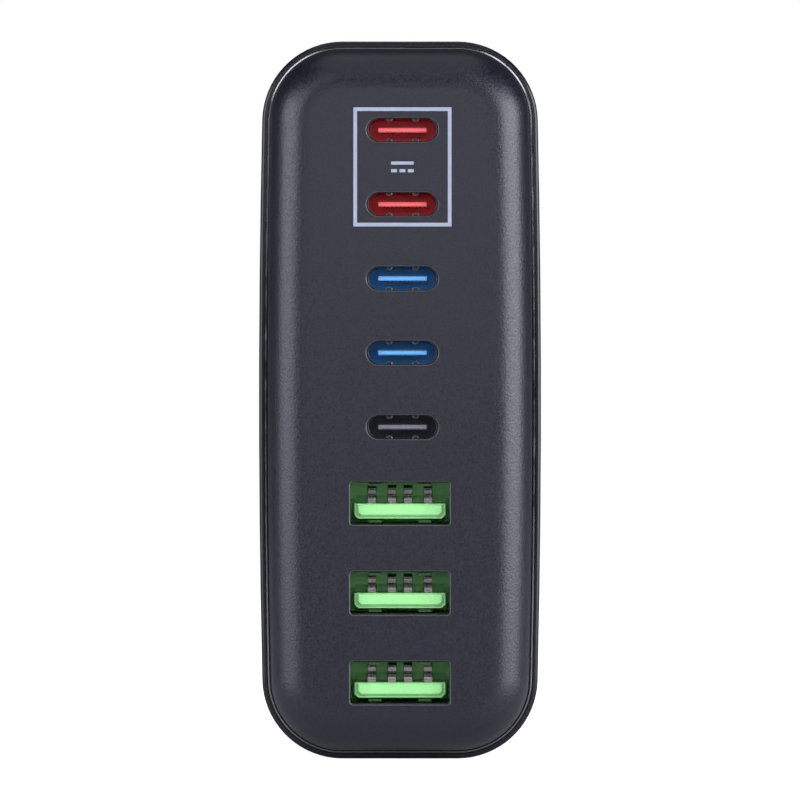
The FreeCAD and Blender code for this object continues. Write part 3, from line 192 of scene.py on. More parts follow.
class InsideSettings(bpy.types.PropertyGroup):
    """Colours of the boards and components behind the cover."""

    board_colour: colour("Boards", "Solder mask", (0.012, 0.075, 0.030))
    tin_colour: colour("Tin", "Tinned spots on the boards", (0.62, 0.60, 0.55))
    epoxy_colour: colour("Epoxy", "Moulded semiconductors", (0.018, 0.018, 0.019))
    spreader_colour: colour("Heat spreader", "Rolled sheet", (0.78, 0.79, 0.80))
    sheet_colour: colour("Insulation sheet", "Amber film", (0.50, 0.26, 0.04))
    pad_colour: colour("Soft pad", "Silicone", (0.40, 0.44, 0.50))
    copper_colour: colour("Copper", "Windings and strips", (0.72, 0.30, 0.12))
    ferrite_colour: colour("Ferrite", "Cores", (0.045, 0.043, 0.042))
    tape_colour: colour("Tape", "Winding tape", (0.72, 0.46, 0.05))
    bobbin_colour: colour("Bobbin", "Transformer bobbin", (0.03, 0.028, 0.026))
    sleeve_colour: colour("Sleeves", "Capacitor sleeves", (0.020, 0.032, 0.075))
    stripe_colour: colour("Stripes", "Stripe on each sleeve", (0.52, 0.55, 0.60))
    can_colour: colour("Cans", "Bare metal of capacitors", (0.70, 0.71, 0.72))
    blue_colour: colour("Blue coat", "Varistor, safety capacitor", (0.03, 0.12, 0.42))
    green_colour: colour("Green coat", "Thermistor", (0.05, 0.16, 0.07))
    yellow_colour: colour("Yellow box", "Line filter capacitor", (0.66, 0.42, 0.03))
    fuse_colour: colour("Fuse", "Fuse body", (0.02, 0.02, 0.022))


class PrintSettings(bpy.types.PropertyGroup):
    """Sizes and colour of the marks printed on the cover."""

    ink_colour: colour("Ink", "Pale print", (0.315, 0.352, 0.433))
    rectangle_width: length("Rectangle width", "Outside, across", 0.01215)
    rectangle_height: length("Rectangle height", "Outside, up", 0.01475)
    line_width: length("Line width", "Printed line", 0.00046)
    ink_height: length("Ink height", "How far the print stands up", 0.000012)
    sign_width: length("Sign width", "Direct-current sign", 0.0028)
    sign_gap: length("Sign spacing", "From the bar to the dashes", 0.00095)


class StudioSettings(bpy.types.PropertyGroup):
    """Camera, lights and floor."""

    camera_distance: length("Camera distance", "From the front face", 0.80)
    view_width: length("View width", "Across the picture at the front face", 0.0990)
    light_distance: length("Light distance", "From the charger to each light", 0.60)
    card_distance: length("Card distance", "From the charger to the front card", 0.22)
    light_colour: colour("Light", "Colour of every light", (0.88, 0.90, 1.0))
    left_tilt: angle("Left angle", "Left light from the camera's direction", 63.5)
    right_tilt: angle("Right angle", "Right light from the camera's direction", 65.5)
    top_tilt: angle("Top angle", "Top light from the camera's direction", 80)
    strip_tilt: angle("Strip angle", "Corner strips from the camera's direction", 40)
    card_tilt: angle("Card angle", "Front card from the camera's direction", 13)
    fill_tilt: angle("Fill angle", "Front fill from the camera's direction", 10)
    back_tilt: angle("Back angle", "Back fill from the camera's direction", 150)
    left_level: level("Left light", "Brightness of the left light", 4.0)
    right_level: level("Right light", "Brightness of the right light", 6.5)
    top_level: level("Top light", "Brightness of the top light", 0.62)
    card_level: level("Front card", "Brightness of the card above the camera", 1.6)
    fill_level: level("Front fill", "Soft light into the ports, not mirrored", 2.9)
    back_level: level("Back fill", "Soft light on the back, not mirrored", 1.2)
    strip_level: level("Corner strips", "Brightness of the two corner strips", 6.2)
    around_level: level("Light all round", "Soft light on every surface", 0.16)
    gloss_level: level("Surroundings", "What polished surfaces reflect in front", 0.06)
    backdrop_level: level("Backdrop", "What polished surfaces reflect behind", 0.14)
    floor_colour: colour("Floor", "Pale floor", (0.72, 0.72, 0.72))
    floor_level: level("Floor glow", "Added to the floor for the camera alone", 0.92)


class ChargerSettings(bpy.types.PropertyGroup):
    """All settings of the charger."""

    housing: PointerProperty(type=HousingSettings)
    ports: PointerProperty(type=PortSettings)
    inside: PointerProperty(type=InsideSettings)
    marks: PointerProperty(type=PrintSettings)
    studio: PointerProperty(type=StudioSettings)


# Effects that several materials share


def effect(name, inputs, outputs):
    """A new shader group with named sockets, and its two end nodes."""
    group = bpy.data.node_groups.new(name, "ShaderNodeTree")
    for label, kind, value in inputs:
        socket = group.interface.new_socket(
            name=label, in_out="INPUT", socket_type=f"NodeSocket{kind}"
        )
        if value is not None:
            socket.default_value = value
    for label, kind in outputs:
        group.interface.new_socket(
            name=label, in_out="OUTPUT", socket_type=f"NodeSocket{kind}"
        )
    start = group.nodes.new("NodeGroupInput")
    end = group.nodes.new("NodeGroupOutput")
    return group, start.outputs, end.inputs


def attach(tree, socket, value):
    """Feeds a socket from another socket, or sets its own value."""
    if isinstance(value, bpy.types.NodeSocket):
        tree.links.new(value, socket)
    else:
        socket.default_value = value


def sums(tree, kind, *values):
    """A Math node's result."""
    node = tree.nodes.new("ShaderNodeMath")
    node.operation = kind
    for socket, value in zip(node.inputs, values):
        attach(tree, socket, value)
    return node.outputs["Value"]


def vectors(tree, kind, first, second):
    """A Vector Math node's result; scaling takes a number second."""
    node = tree.nodes.new("ShaderNodeVectorMath")
    node.operation = kind
    attach(tree, node.inputs[0], first)
    attach(tree, node.inputs["Scale" if kind == "SCALE" else 1], second)
    return node.outputs["Value" if kind == "DOT_PRODUCT" else "Vector"]


def ranged(tree, value, low, high, from_low=0.0, from_high=1.0):
    """A value moved from one range to another and held inside it."""
    node = tree.nodes.new("ShaderNodeMapRange")
    attach(tree, node.inputs["Value"], value)
    attach(tree, node.inputs["From Min"], from_low)
    attach(tree, node.inputs["From Max"], from_high)
    attach(tree, node.inputs["To Min"], low)
    attach(tree, node.inputs["To Max"], high)
    return node.outputs["Result"]


def axes(tree, vector):
    """The coordinates X, Y and Z of a vector."""
    node = tree.nodes.new("ShaderNodeSeparateXYZ")
    tree.links.new(vector, node.inputs["Vector"])
    return node.outputs


def noise(tree, vector, scale, detail=2.0, rough=0.5):
    """A noise value from nothing to one."""
    node = tree.nodes.new("ShaderNodeTexNoise")
    attach(tree, node.inputs["Vector"], vector)
    attach(tree, node.inputs["Scale"], scale)
    attach(tree, node.inputs["Detail"], detail)
    attach(tree, node.inputs["Roughness"], rough)
    return node.outputs["Fac"]


def cells(tree, vector, scale, feature="F1", scatter=1.0):
    """Distance in a cell pattern."""
    node = tree.nodes.new("ShaderNodeTexVoronoi")
    node.feature = feature
    attach(tree, node.inputs["Vector"], vector)
    attach(tree, node.inputs["Scale"], scale)
    attach(tree, node.inputs["Randomness"], scatter)
    return node.outputs["Distance"]


def mixed(tree, factor, first, second):
    """Two colours mixed by a factor."""
    node = tree.nodes.new("ShaderNodeMix")
    node.data_type = "RGBA"
    attach(tree, node.inputs[0], factor)
    attach(tree, node.inputs[6], first)
    attach(tree, node.inputs[7], second)
    return node.outputs[2]


def build_grain():
    """Moulded grain: fine noise and the round pits of a cell pattern, added."""
    group, given, out = effect(
        "Moulded grain",
        (("Vector", "Vector", None), ("Size", "Float", 0.0003)),
        (("Height", "Float"), ("Fleck", "Float")),
    )
    place = vectors(group, "SCALE", given["Vector"], sums(group, "DIVIDE", 1.0, given["Size"]))
    fine = noise(group, place, 1.0, 2.0, 0.6)
    pits = cells(group, place, 0.8)
    height = sums(group, "MULTIPLY_ADD", pits, 0.45, sums(group, "MULTIPLY", fine, 0.75))
    attach(group, out["Height"], height)
    attach(group, out["Fleck"], ranged(group, fine, 0.0, 1.0, 0.3, 0.7))


def build_mottle():
    """Slow mottle: a colour made a little lighter and darker in soft patches."""
    group, given, out = effect(
        "Slow mottle",
        (
            ("Vector", "Vector", None),
            ("Colour", "Color", (0.5, 0.5, 0.5, 1)),
            ("Size", "Float", 0.01),
            ("Depth", "Float", 0.1),
        ),
        (("Colour", "Color"), ("Shade", "Float")),
    )
    place = vectors(group, "SCALE", given["Vector"], sums(group, "DIVIDE", 1.0, given["Size"]))
    shade = ranged(group, noise(group, place, 1.0, 3.0, 0.55), 0.0, 1.0, 0.28, 0.72)
    low = sums(group, "SUBTRACT", 1.0, given["Depth"])
    high = sums(group, "ADD", 1.0, given["Depth"])
    lift = ranged(group, shade, low, high)
    attach(group, out["Colour"], vectors(group, "SCALE", given["Colour"], lift))
    attach(group, out["Shade"], shade)


def build_brush():
    """Brushed lines: noise stretched along the direction of rolling or polishing."""
    group, given, out = effect(
        "Brushed lines",
        (("Vector", "Vector", None), ("Stretch", "Vector", (1000, 1000, 1000))),
        (("Height", "Float"), ("Shade", "Float")),
    )
    place = vectors(group, "MULTIPLY", given["Vector"], given["Stretch"])
    lines = noise(group, place, 1.0, 3.0, 0.6)
    attach(group, out["Height"], lines)
    attach(group, out["Shade"], ranged(group, lines, 0.0, 1.0, 0.3, 0.7))


def build_turns():
    """Wound turns: round wires side by side along an axis, as half circles of height."""
    group, given, out = effect(
        "Wound turns",
        (
            ("Vector", "Vector", None),
            ("Axis", "Vector", (0, 0, 1)),
            ("Pitch", "Float", 0.0005),
        ),
        (("Height", "Float"), ("Shade", "Float")),
    )
    along = sums(group, "DIVIDE", vectors(group, "DOT_PRODUCT", given["Vector"], given["Axis"]),
                 given["Pitch"])
    wave = sums(group, "SINE", sums(group, "MULTIPLY", along, math.pi))
    height = sums(group, "POWER", sums(group, "ABSOLUTE", wave), 0.6)
    attach(group, out["Height"], height)
    attach(group, out["Shade"], ranged(group, height, 0.35, 1.0))


def build_depth():
    """Port depth: masks by the distance behind a port's mouth.

    Tip is the thin end of the tongue, lit as painted light, Deep the lower part of the port,
    darkened as painted shade, Inside where the steel takes the port's colour, and Bare the
    rounded noses of the dimples, partly worn bare and partly a painted glint.
    """
    group, given, out = effect(
        "Port depth",
        (("Vector", "Vector", None), ("Mouth", "Float", 0.0)),
        (("Tip", "Float"), ("Deep", "Float"), ("Inside", "Float"), ("Bare", "Float")),
    )
    behind = sums(group, "SUBTRACT", axes(group, given["Vector"])["Y"], given["Mouth"])
    attach(group, out["Tip"], ranged(group, behind, 1.0, 0.0, *TIP_BAND))
    attach(group, out["Deep"], ranged(group, behind, 0.0, 1.0, *DEEP_BAND))
    attach(group, out["Inside"], ranged(group, behind, 0.0, 1.0, *STEEL_TINT_BAND))
    start = ranged(group, behind, 0.0, 1.0, *BARE_GLINT_START)
    attach(group, out["Bare"], ranged(group, behind, start, 0.0, *BARE_GLINT_END))


def build_wrap():
    """Sleeve film: masks round a can that lies along X through the pattern's origin.

    Stripe is where the turn round X is near half a turn, and Film is where the distance
    from X is more than the radius of the bare ends.
    """
    group, given, out = effect(
        "Sleeve film",
        (("Vector", "Vector", None),),
        (("Stripe", "Float"), ("Film", "Float")),
    )
    at = axes(group, given["Vector"])
    turn = sums(group, "ABSOLUTE", sums(group, "ARCTAN2", at["Z"], at["Y"]))
    up = sums(group, "MULTIPLY", at["Z"], at["Z"])
    radius = sums(group, "SQRT", sums(group, "MULTIPLY_ADD", at["Y"], at["Y"], up))
    attach(group, out["Stripe"], ranged(group, turn, 0.0, 1.0, *STRIPE))
    attach(group, out["Film"], ranged(group, radius, 0.0, 1.0, *FILM))


EFFECTS = (build_grain, build_mottle, build_brush, build_turns, build_depth, build_wrap)


def shared(name):
    """The shader group of an effect; the first call builds them all."""
    if name not in bpy.data.node_groups:
        for build in EFFECTS:
            build()
    return bpy.data.node_groups[name]


# Materials


class Finish:
    """A material with one Principled shader, and the means to feed it."""

    def __init__(self, name):
        self.material = bpy.data.materials.new(name)
        self.material.use_nodes = True
        self.tree = self.material.node_tree
        self.tree.nodes.clear()
        output = self.tree.nodes.new("ShaderNodeOutputMaterial")
        self.shader = self.tree.nodes.new("ShaderNodeBsdfPrincipled")
        self.tree.links.new(self.shader.outputs["BSDF"], output.inputs["Surface"])
        self.place = self.tree.nodes.new("ShaderNodeTexCoord").outputs["Object"]

    def centre(self, point):
        """Moves the pattern's origin to a point of the charger."""
        node = self.tree.nodes.new("ShaderNodeMapping")
        self.tree.links.new(self.place, node.inputs["Vector"])
        node.inputs["Location"].default_value = [-value for value in point]
        self.place = node.outputs["Vector"]

    def use(self, name, **values):
        """Places a shared effect with its own values."""
        node = self.tree.nodes.new("ShaderNodeGroup")
        node.node_tree = shared(name)
        self.tree.links.new(self.place, node.inputs["Vector"])
        for label, value in values.items():
            attach(self.tree, node.inputs[label], value)
        return node.outputs

    def feed(self, **values):
        """Sets or links the shader's sockets; an underscore stands for a space."""
        for label, value in values.items():
            attach(self.tree, self.shader.inputs[label.replace("_", " ")], value)

    def bump(self, height, depth):
        """Raises the surface by a height pattern of a given depth."""
        node = self.tree.nodes.new("ShaderNodeBump")
        node.inputs["Distance"].default_value = depth
        self.tree.links.new(height, node.inputs["Height"])
        self.tree.links.new(node.outputs["Normal"], self.shader.inputs["Normal"])


def opaque(value):
    """A colour property as the four numbers of a colour socket."""
    return (value[0], value[1], value[2], 1.0)


def plastic(name, tint, rough, grain=0.0004, depth=0.000006, mottle=0.06, patch=0.009,
            fleck=0.06, spread=0.03):
    """Moulded plastic: soft colour patches, flecks and a fine grain.

    Fleck is how far the colour goes up and down with the grain, and spread how far the
    roughness does.
    """
    finish = Finish(name)
    tree = finish.tree
    pattern = finish.use("Moulded grain", Size=grain)
    base = finish.use("Slow mottle", Colour=opaque(tint), Size=patch, Depth=mottle)
    lift = ranged(tree, pattern["Fleck"], 1.0 - fleck, 1.0 + fleck)
    finish.feed(
        Base_Color=vectors(tree, "SCALE", base["Colour"], lift),
        Roughness=ranged(tree, pattern["Fleck"], rough - spread, rough + spread),
    )
    finish.bump(pattern["Height"], depth)
    return finish


def rubbed_and_lit_edges(finish, tint):
    """Lighter plastic on the rounded edges of the port openings: partly wear where plugs rub, partly
    a painted highlight.

    The edges are the points of the port column that lie a little behind the front face.
    """
    tree = finish.tree
    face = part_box("front_cover")[0].y
    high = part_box("oval_port_1_shell")[1].z
    low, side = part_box("wide_port_3_shell")
    at = axes(tree, finish.place)
    behind = sums(tree, "SUBTRACT", at["Y"], face)
    beside = sums(tree, "SUBTRACT", sums(tree, "ABSOLUTE", at["X"]), side.x)
    up = sums(tree, "SUBTRACT", at["Z"], (low.z + high) / 2)
    beyond = sums(tree, "SUBTRACT", sums(tree, "ABSOLUTE", up), (high - low.z) / 2)
    depth = ranged(tree, behind, 0.0, 1.0, *RUBBED_AND_LIT_EDGE)
    column = ranged(tree, beside, depth, 0.0, *COLUMN_SIDE)
    edge = ranged(tree, beyond, column, 0.0, *COLUMN_END)
    plain = finish.shader.inputs["Base Color"].links[0].from_socket
    # Painted highlight, partly wear: the edges are mixed towards the lighter colour
    finish.feed(Base_Color=mixed(tree, edge, plain, opaque(tint)))


def metal(name, tint, rough, stretch, depth=0.000002, mottle=0.08):
    """Rolled or drawn metal: lines along its length and slight staining."""
    finish = Finish(name)
    tree = finish.tree
    lines = finish.use("Brushed lines", Stretch=stretch)
    base = finish.use("Slow mottle", Colour=opaque(tint), Size=0.004, Depth=mottle)
    finish.feed(
        Base_Color=vectors(tree, "SCALE", base["Colour"], ranged(tree, lines["Shade"], 0.9, 1.08)),
        Roughness=ranged(tree, lines["Shade"], rough - 0.06, rough + 0.08),
        Metallic=1.0,
    )
    finish.bump(lines["Height"], depth)
    return finish


def insulator(name, tint, mouth, tip_light, base_shade):
    """Moulded insulator, with painted shade making it darker down in the port, and painted light
    making the thin tip of its tongue lighter.
    """
    finish = Finish(name)
    tree = finish.tree
    pattern = finish.use("Moulded grain", Size=0.0003)
    base = finish.use("Slow mottle", Colour=opaque(tint), Size=0.004, Depth=0.06)
    masks = finish.use("Port depth", Mouth=mouth)
    # Painted light: the tip of the tongue is mixed towards white
    tip = sums(tree, "MULTIPLY", masks["Tip"], tip_light)
    pale = mixed(tree, tip, base["Colour"], WHITE)
    # Painted shade: the colour darkens down in the port
    depth = ranged(tree, masks["Deep"], 1.0, base_shade)
    shade = sums(tree, "MULTIPLY", depth, ranged(tree, pattern["Fleck"], 0.95, 1.05))
    finish.feed(
        Base_Color=vectors(tree, "SCALE", pale, shade),
        Roughness=ranged(tree, pattern["Height"], 0.30, 0.42),
        Specular_IOR_Level=INSULATOR_SHEEN,
    )
    finish.bump(pattern["Height"], 0.000004)
    return finish


def tinted_steel(name, tint, mouth, ports, strength):
    """Drawn steel tinted in the port's colour behind the mouth, and dark at the mouth.

    The rounded noses of the dimples just inside the mouth are bare steel: partly wear
    where plugs rub, partly a painted glint.
    """
    finish = Finish(name)
    tree = finish.tree
    lines = finish.use("Brushed lines", Stretch=(2200, 260, 2200))
    base = finish.use("Slow mottle", Colour=opaque(tint), Size=0.003, Depth=0.1)
    masks = finish.use("Port depth", Mouth=mouth)
    inside, bare = masks["Inside"], masks["Bare"]
    streaks = ranged(tree, lines["Shade"], 0.85 * strength, 1.15 * strength)
    tinted = vectors(tree, "SCALE", base["Colour"], streaks)
    painted = mixed(tree, inside, opaque(ports.mouth_colour), tinted)
    finish.feed(
        # The dimples' noses turn to bright bare steel: partly wear, partly a painted glint
        Base_Color=mixed(tree, bare, painted, opaque(ports.rubbed_glint_colour)),
        Roughness=ranged(tree, lines["Shade"], 0.24, 0.34),
        Metallic=sums(tree, "MAXIMUM", bare, ranged(tree, inside, 0.4, 0.85)),
    )
    finish.bump(lines["Height"], 0.000002)
    return finish


def wound(name, tint, rough, axis, pitch, depth, metallic=0.0):
    """Wire or tape in turns, with painted shade making the gaps between turns darker."""
    finish = Finish(name)
    tree = finish.tree
    turns = finish.use("Wound turns", Axis=axis, Pitch=pitch)
    base = finish.use("Slow mottle", Colour=opaque(tint), Size=0.003, Depth=0.12)
    finish.feed(
        # Painted shade: the colour darkens in the gaps between turns
        Base_Color=vectors(tree, "SCALE", base["Colour"], turns["Shade"]),
        Roughness=ranged(tree, base["Shade"], rough - 0.06, rough + 0.06),
        Metallic=metallic,
    )
    finish.bump(turns["Height"], depth)
    return finish


def laminate(name, tint, tin):
    """Circuit board: solder mask over tracks, with tinned spots where tracks end."""
    finish = Finish(name)
    tree = finish.tree
    tracks = cells(tree, finish.place, TRACKS, "DISTANCE_TO_EDGE", 0.55)
    line = ranged(tree, tracks, 1.0, 0.0, 0.05, 0.09)
    pads = ranged(tree, cells(tree, finish.place, SPOTS), 1.0, 0.0, 0.13, 0.16)
    base = finish.use("Slow mottle", Colour=opaque(tint), Size=0.006, Depth=0.15)
    bright = vectors(tree, "SCALE", base["Colour"], 1.9)
    masked = mixed(tree, line, base["Colour"], bright)
    finish.feed(
        Base_Color=mixed(tree, pads, masked, opaque(tin)),
        Roughness=ranged(tree, pads, 0.32, 0.22),
        Metallic=pads,
    )
    finish.bump(sums(tree, "MAXIMUM", line, pads), 0.00003)
    return finish


def sleeve(name, inside, middle):
    """Capacitor sleeve: dark film with a pale stripe down one side, bare metal ends."""
    finish = Finish(name)
    finish.centre(middle)
    tree = finish.tree
    masks = finish.use("Sleeve film")
    lines = finish.use("Brushed lines", Stretch=(900, 2600, 2600))
    base = finish.use("Slow mottle", Colour=opaque(inside.sleeve_colour), Size=0.005, Depth=0.1)
    wrapped = mixed(tree, masks["Stripe"], base["Colour"], opaque(inside.stripe_colour))
    finish.feed(
        Base_Color=mixed(tree, masks["Film"], opaque(inside.can_colour), wrapped),
        Roughness=ranged(tree, lines["Shade"], 0.26, 0.38),
        Metallic=sums(tree, "SUBTRACT", 1.0, masks["Film"]),
    )
    finish.bump(lines["Height"], 0.000004)
    return finish


def dress(finish, *nodes):
    """Gives CAD nodes a finish."""
    for node in nodes:
        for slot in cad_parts[node].material_slots:
            slot.material = finish.material


# Surfaces of the printed marks


def surface(name, points, faces):
    """A mesh object at the origin from arrays of points and faces."""
    mesh = bpy.data.meshes.new(name)
    mesh.from_pydata(points.reshape(-1, 3).tolist(), [], faces)
    mesh.validate()
    piece = bpy.data.objects.new(name, mesh)
    bpy.context.scene.collection.objects.link(piece)
    return piece


def grid_faces(rows, columns, wrap_rows):
    """Quads of a grid whose columns close on themselves, and whose rows may."""
    count = rows if wrap_rows else rows - 1
    row, column = np.meshgrid(np.arange(count), np.arange(columns), indexing="ij")
    below = (row + 1) % rows
    after = (column + 1) % columns
    quads = np.stack(
        (
            row * columns + column,
            row * columns + after,
            below * columns + after,
            below * columns + column,
        ),
        axis=-1,
    )
    return quads.reshape(-1, 4).tolist()


def framed_line(middle, width, height, line, face, proud):
    """A printed line round a rectangle.

    The profile goes across the line: s from -1 to 1 is the place across it and its height
    is proud * (1 - s^6), and it returns underneath the face. It is carried round the four
    corners of the rectangle, each corner moved out along its diagonal by the place across.
    """
    s = np.linspace(-1, 1, LINE_POINTS)
    across = np.concatenate((s, s[::-1])) * line / 2
    rise = np.concatenate((proud * (1 - s**6), np.full(s.size, -proud)))
    side = np.array([(-1, -1), (1, -1), (1, 1), (-1, 1)], float)
    x = middle.x + side[:, :1] * (width / 2 - line / 2 + across)
    z = middle.z + side[:, 1:] * (height / 2 - line / 2 + across)
    y = np.broadcast_to(face - rise, x.shape)
    points = np.stack((x, y, z), axis=-1)
    return points, grid_faces(len(side), across.size, True)


def pressed_bar(x, z, width, height, face, proud):
    """A printed bar with slightly round corners.

    Its outline is a superellipse of power CORNER_POWER in the angle u. Rings of it, at the
    shares of its size (reach) and of its height (rise) below, run from the middle of the
    underside over the edge to the middle of the top, and both middles are closed.
    """
    u = np.linspace(0, 2 * np.pi, BAR_POINTS, endpoint=False)
    reach = np.array([0.4, 1.0, 1.0, 0.96, 0.4])[:, None]
    rise = np.array([-1, -1, 0.2, 1, 1])[:, None] * proud
    power = 2 / CORNER_POWER
    across = np.sign(np.cos(u)) * np.abs(np.cos(u)) ** power * width / 2
    up = np.sign(np.sin(u)) * np.abs(np.sin(u)) ** power * height / 2
    rings = np.stack(
        (
            x + reach * across,
            np.broadcast_to(face - rise, (reach.size, u.size)),
            z + reach * up,
        ),
        axis=-1,
    )
    poles = np.array([[x, face + proud, z], [x, face - proud, z]])
    points = np.concatenate((rings.reshape(-1, 3), poles))
    faces = grid_faces(reach.size, u.size, False)
    around = np.arange(u.size)
    after = (around + 1) % u.size
    bottom = np.full(u.size, reach.size * u.size)
    faces += np.stack((after, around, bottom), axis=-1).tolist()
    last = (reach.size - 1) * u.size
    faces += np.stack((last + around, last + after, bottom + 1), axis=-1).tolist()
    return points, faces


def outwards(piece):
    """Turns every face of a closed piece outwards."""
    work = bmesh.new()
    work.from_mesh(piece.data)
    bmesh.ops.recalc_face_normals(work, faces=work.faces)
    work.to_mesh(piece.data)
    work.free()


def print_middle():
    """The point on the front face midway between the two upper ports."""
    upper_low, upper_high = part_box("oval_port_1_shell")
    lower_low, lower_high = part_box("oval_port_2_shell")
    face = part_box("front_cover")[0].y
    middle = (upper_low + upper_high + lower_low + lower_high) / 4
    return Vector((middle.x, face, middle.z))


def ink(settings):
    """The print's material, made once."""
    found = bpy.data.materials.get("printed_ink")
    if found:
        return found
    tint = settings.marks.ink_colour
    finish = plastic(
        "printed_ink", tint, 0.5, grain=0.0003, depth=0.000004, mottle=0.05, patch=0.002
    )
    return finish.material


# Operators


class DressHousing(bpy.types.Operator):
    """Finish the front cover, the rear half and the trim ring"""

    bl_idname = "charger.dress_housing"
    bl_label = "Housing"

    def execute(self, context):
        housing = context.scene.charger.housing
        cover = plastic(
            "cover_plastic_grained",
            housing.cover_colour,
            housing.cover_roughness,
            grain=housing.grain_size,
            depth=housing.grain_depth,
            mottle=0.04,
            patch=0.014,
            fleck=1.0,
            spread=0.09,
        )
        cover.feed(IOR=COVER_IOR)
        rubbed_and_lit_edges(cover, housing.rubbed_and_lit_edge_colour)
        dress(cover, "front_cover")
        rear = plastic(
            "shell_plastic_glossy",
            housing.shell_colour,
            housing.shell_roughness,
            grain=0.0016,
            depth=0.000003,
            mottle=0.1,
            patch=0.02,
        )
        rear.feed(IOR=REAR_IOR)
        dress(rear, "rear_shell")
        ring = metal(
            "trim_plastic_chromed", housing.trim_colour, 0.13, (300, 300, 300), depth=0.00000002
        )
        dress(ring, "trim_ring")
        return {"FINISHED"}


class DressPlug(bpy.types.Operator):
    """Finish the plug insert and its two blades"""

    bl_idname = "charger.dress_plug"
    bl_label = "Plug"

    def execute(self, context):
        housing = context.scene.charger.housing
        insert = plastic(
            "insert_plastic_matt", housing.insert_colour, 0.55, grain=0.0005, depth=0.00002
        )
        dress(insert, "plug_insert")
        blades = metal("blade_metal_nickel", housing.blade_colour, 0.24, (2600, 120, 2600))
        dress(blades, "line_blade", "neutral_blade")
        return {"FINISHED"}


class DressPorts(bpy.types.Operator):
    """Finish the steel, insulators and contacts of the eight ports"""

    bl_idname = "charger.dress_ports"
    bl_label = "Ports"

    def execute(self, context):
        ports = context.scene.charger.ports
        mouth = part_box("oval_port_1_shell")[0].y
        contacts = metal("contact_metal_plated", ports.contact_colour, 0.22, (3000, 400, 3000))
        # Ports, colour, how pale the tip is made as painted light, and how much of the colour
        # is left at the base under painted shade
        oval = {
            "red": (RED_PORTS, ports.red_colour, 0.12, 0.92),
            "blue": (BLUE_PORTS, ports.blue_colour, 0.08, 0.76),
            "black": (BLACK_PORTS, ports.black_colour, 0.10, 0.8),
        }
        for label, (numbers, tint, tip_light, base_shade) in oval.items():
            body = insulator(f"{label}_insulator_moulded", tint, mouth, tip_light, base_shade)
            sheet = tinted_steel(f"{label}_port_steel", tint, mouth, ports, OVAL_STRENGTH)
            for number in numbers:
                dress(body, f"oval_port_{number}_insulator")
                dress(sheet, f"oval_port_{number}_shell")
                dress(contacts, f"oval_port_{number}_contacts")
        body = insulator("green_insulator_moulded", ports.green_colour, mouth, 0.02, 0.86)
        sheet = tinted_steel("green_port_steel", ports.green_colour, mouth, ports, WIDE_STRENGTH)
        for number in WIDE_PORTS:
            dress(body, f"wide_port_{number}_insulator")
            dress(sheet, f"wide_port_{number}_shell")
            dress(contacts, f"wide_port_{number}_contacts")
        return {"FINISHED"}


class DressBoards(bpy.types.Operator):
    """Finish the boards, the parts on the port board and the heat path"""

    bl_idname = "charger.dress_boards"
    bl_label = "Boards and heat path"

    def execute(self, context):
        inside = context.scene.charger.inside
        dress(
            laminate("board_laminate_tracks", inside.board_colour, inside.tin_colour),
            "main_board",
            "port_board",
            "control_card",
        )
        epoxy = plastic(
            "moulded_epoxy_black", inside.epoxy_colour, 0.5,
            grain=0.0002, depth=0.000004,
        )
        dress(epoxy, "power_transistors", "port_controllers", "bridge_rectifier")
        grey = plastic(
            "ferrite_pressed", inside.ferrite_colour, 0.62,
            grain=0.00015, depth=0.000008, mottle=0.15,
        )
        dress(grey, "buck_inductors")
        spreader = metal("spreader_metal_rolled", inside.spreader_colour, 0.32, (1800, 1800, 90))
        dress(spreader, "heat_spreader")
        film = plastic(
            "sheet_film_amber", inside.sheet_colour, 0.28,
            grain=0.0012, depth=0.000006, mottle=0.1,
        )
        dress(film, "insulation_sheet")
        soft = plastic(
            "soft_pad_silicone", inside.pad_colour, 0.7,
            grain=0.0006, depth=0.00003, mottle=0.12,
        )
        dress(soft, "gap_pad")
        return {"FINISHED"}


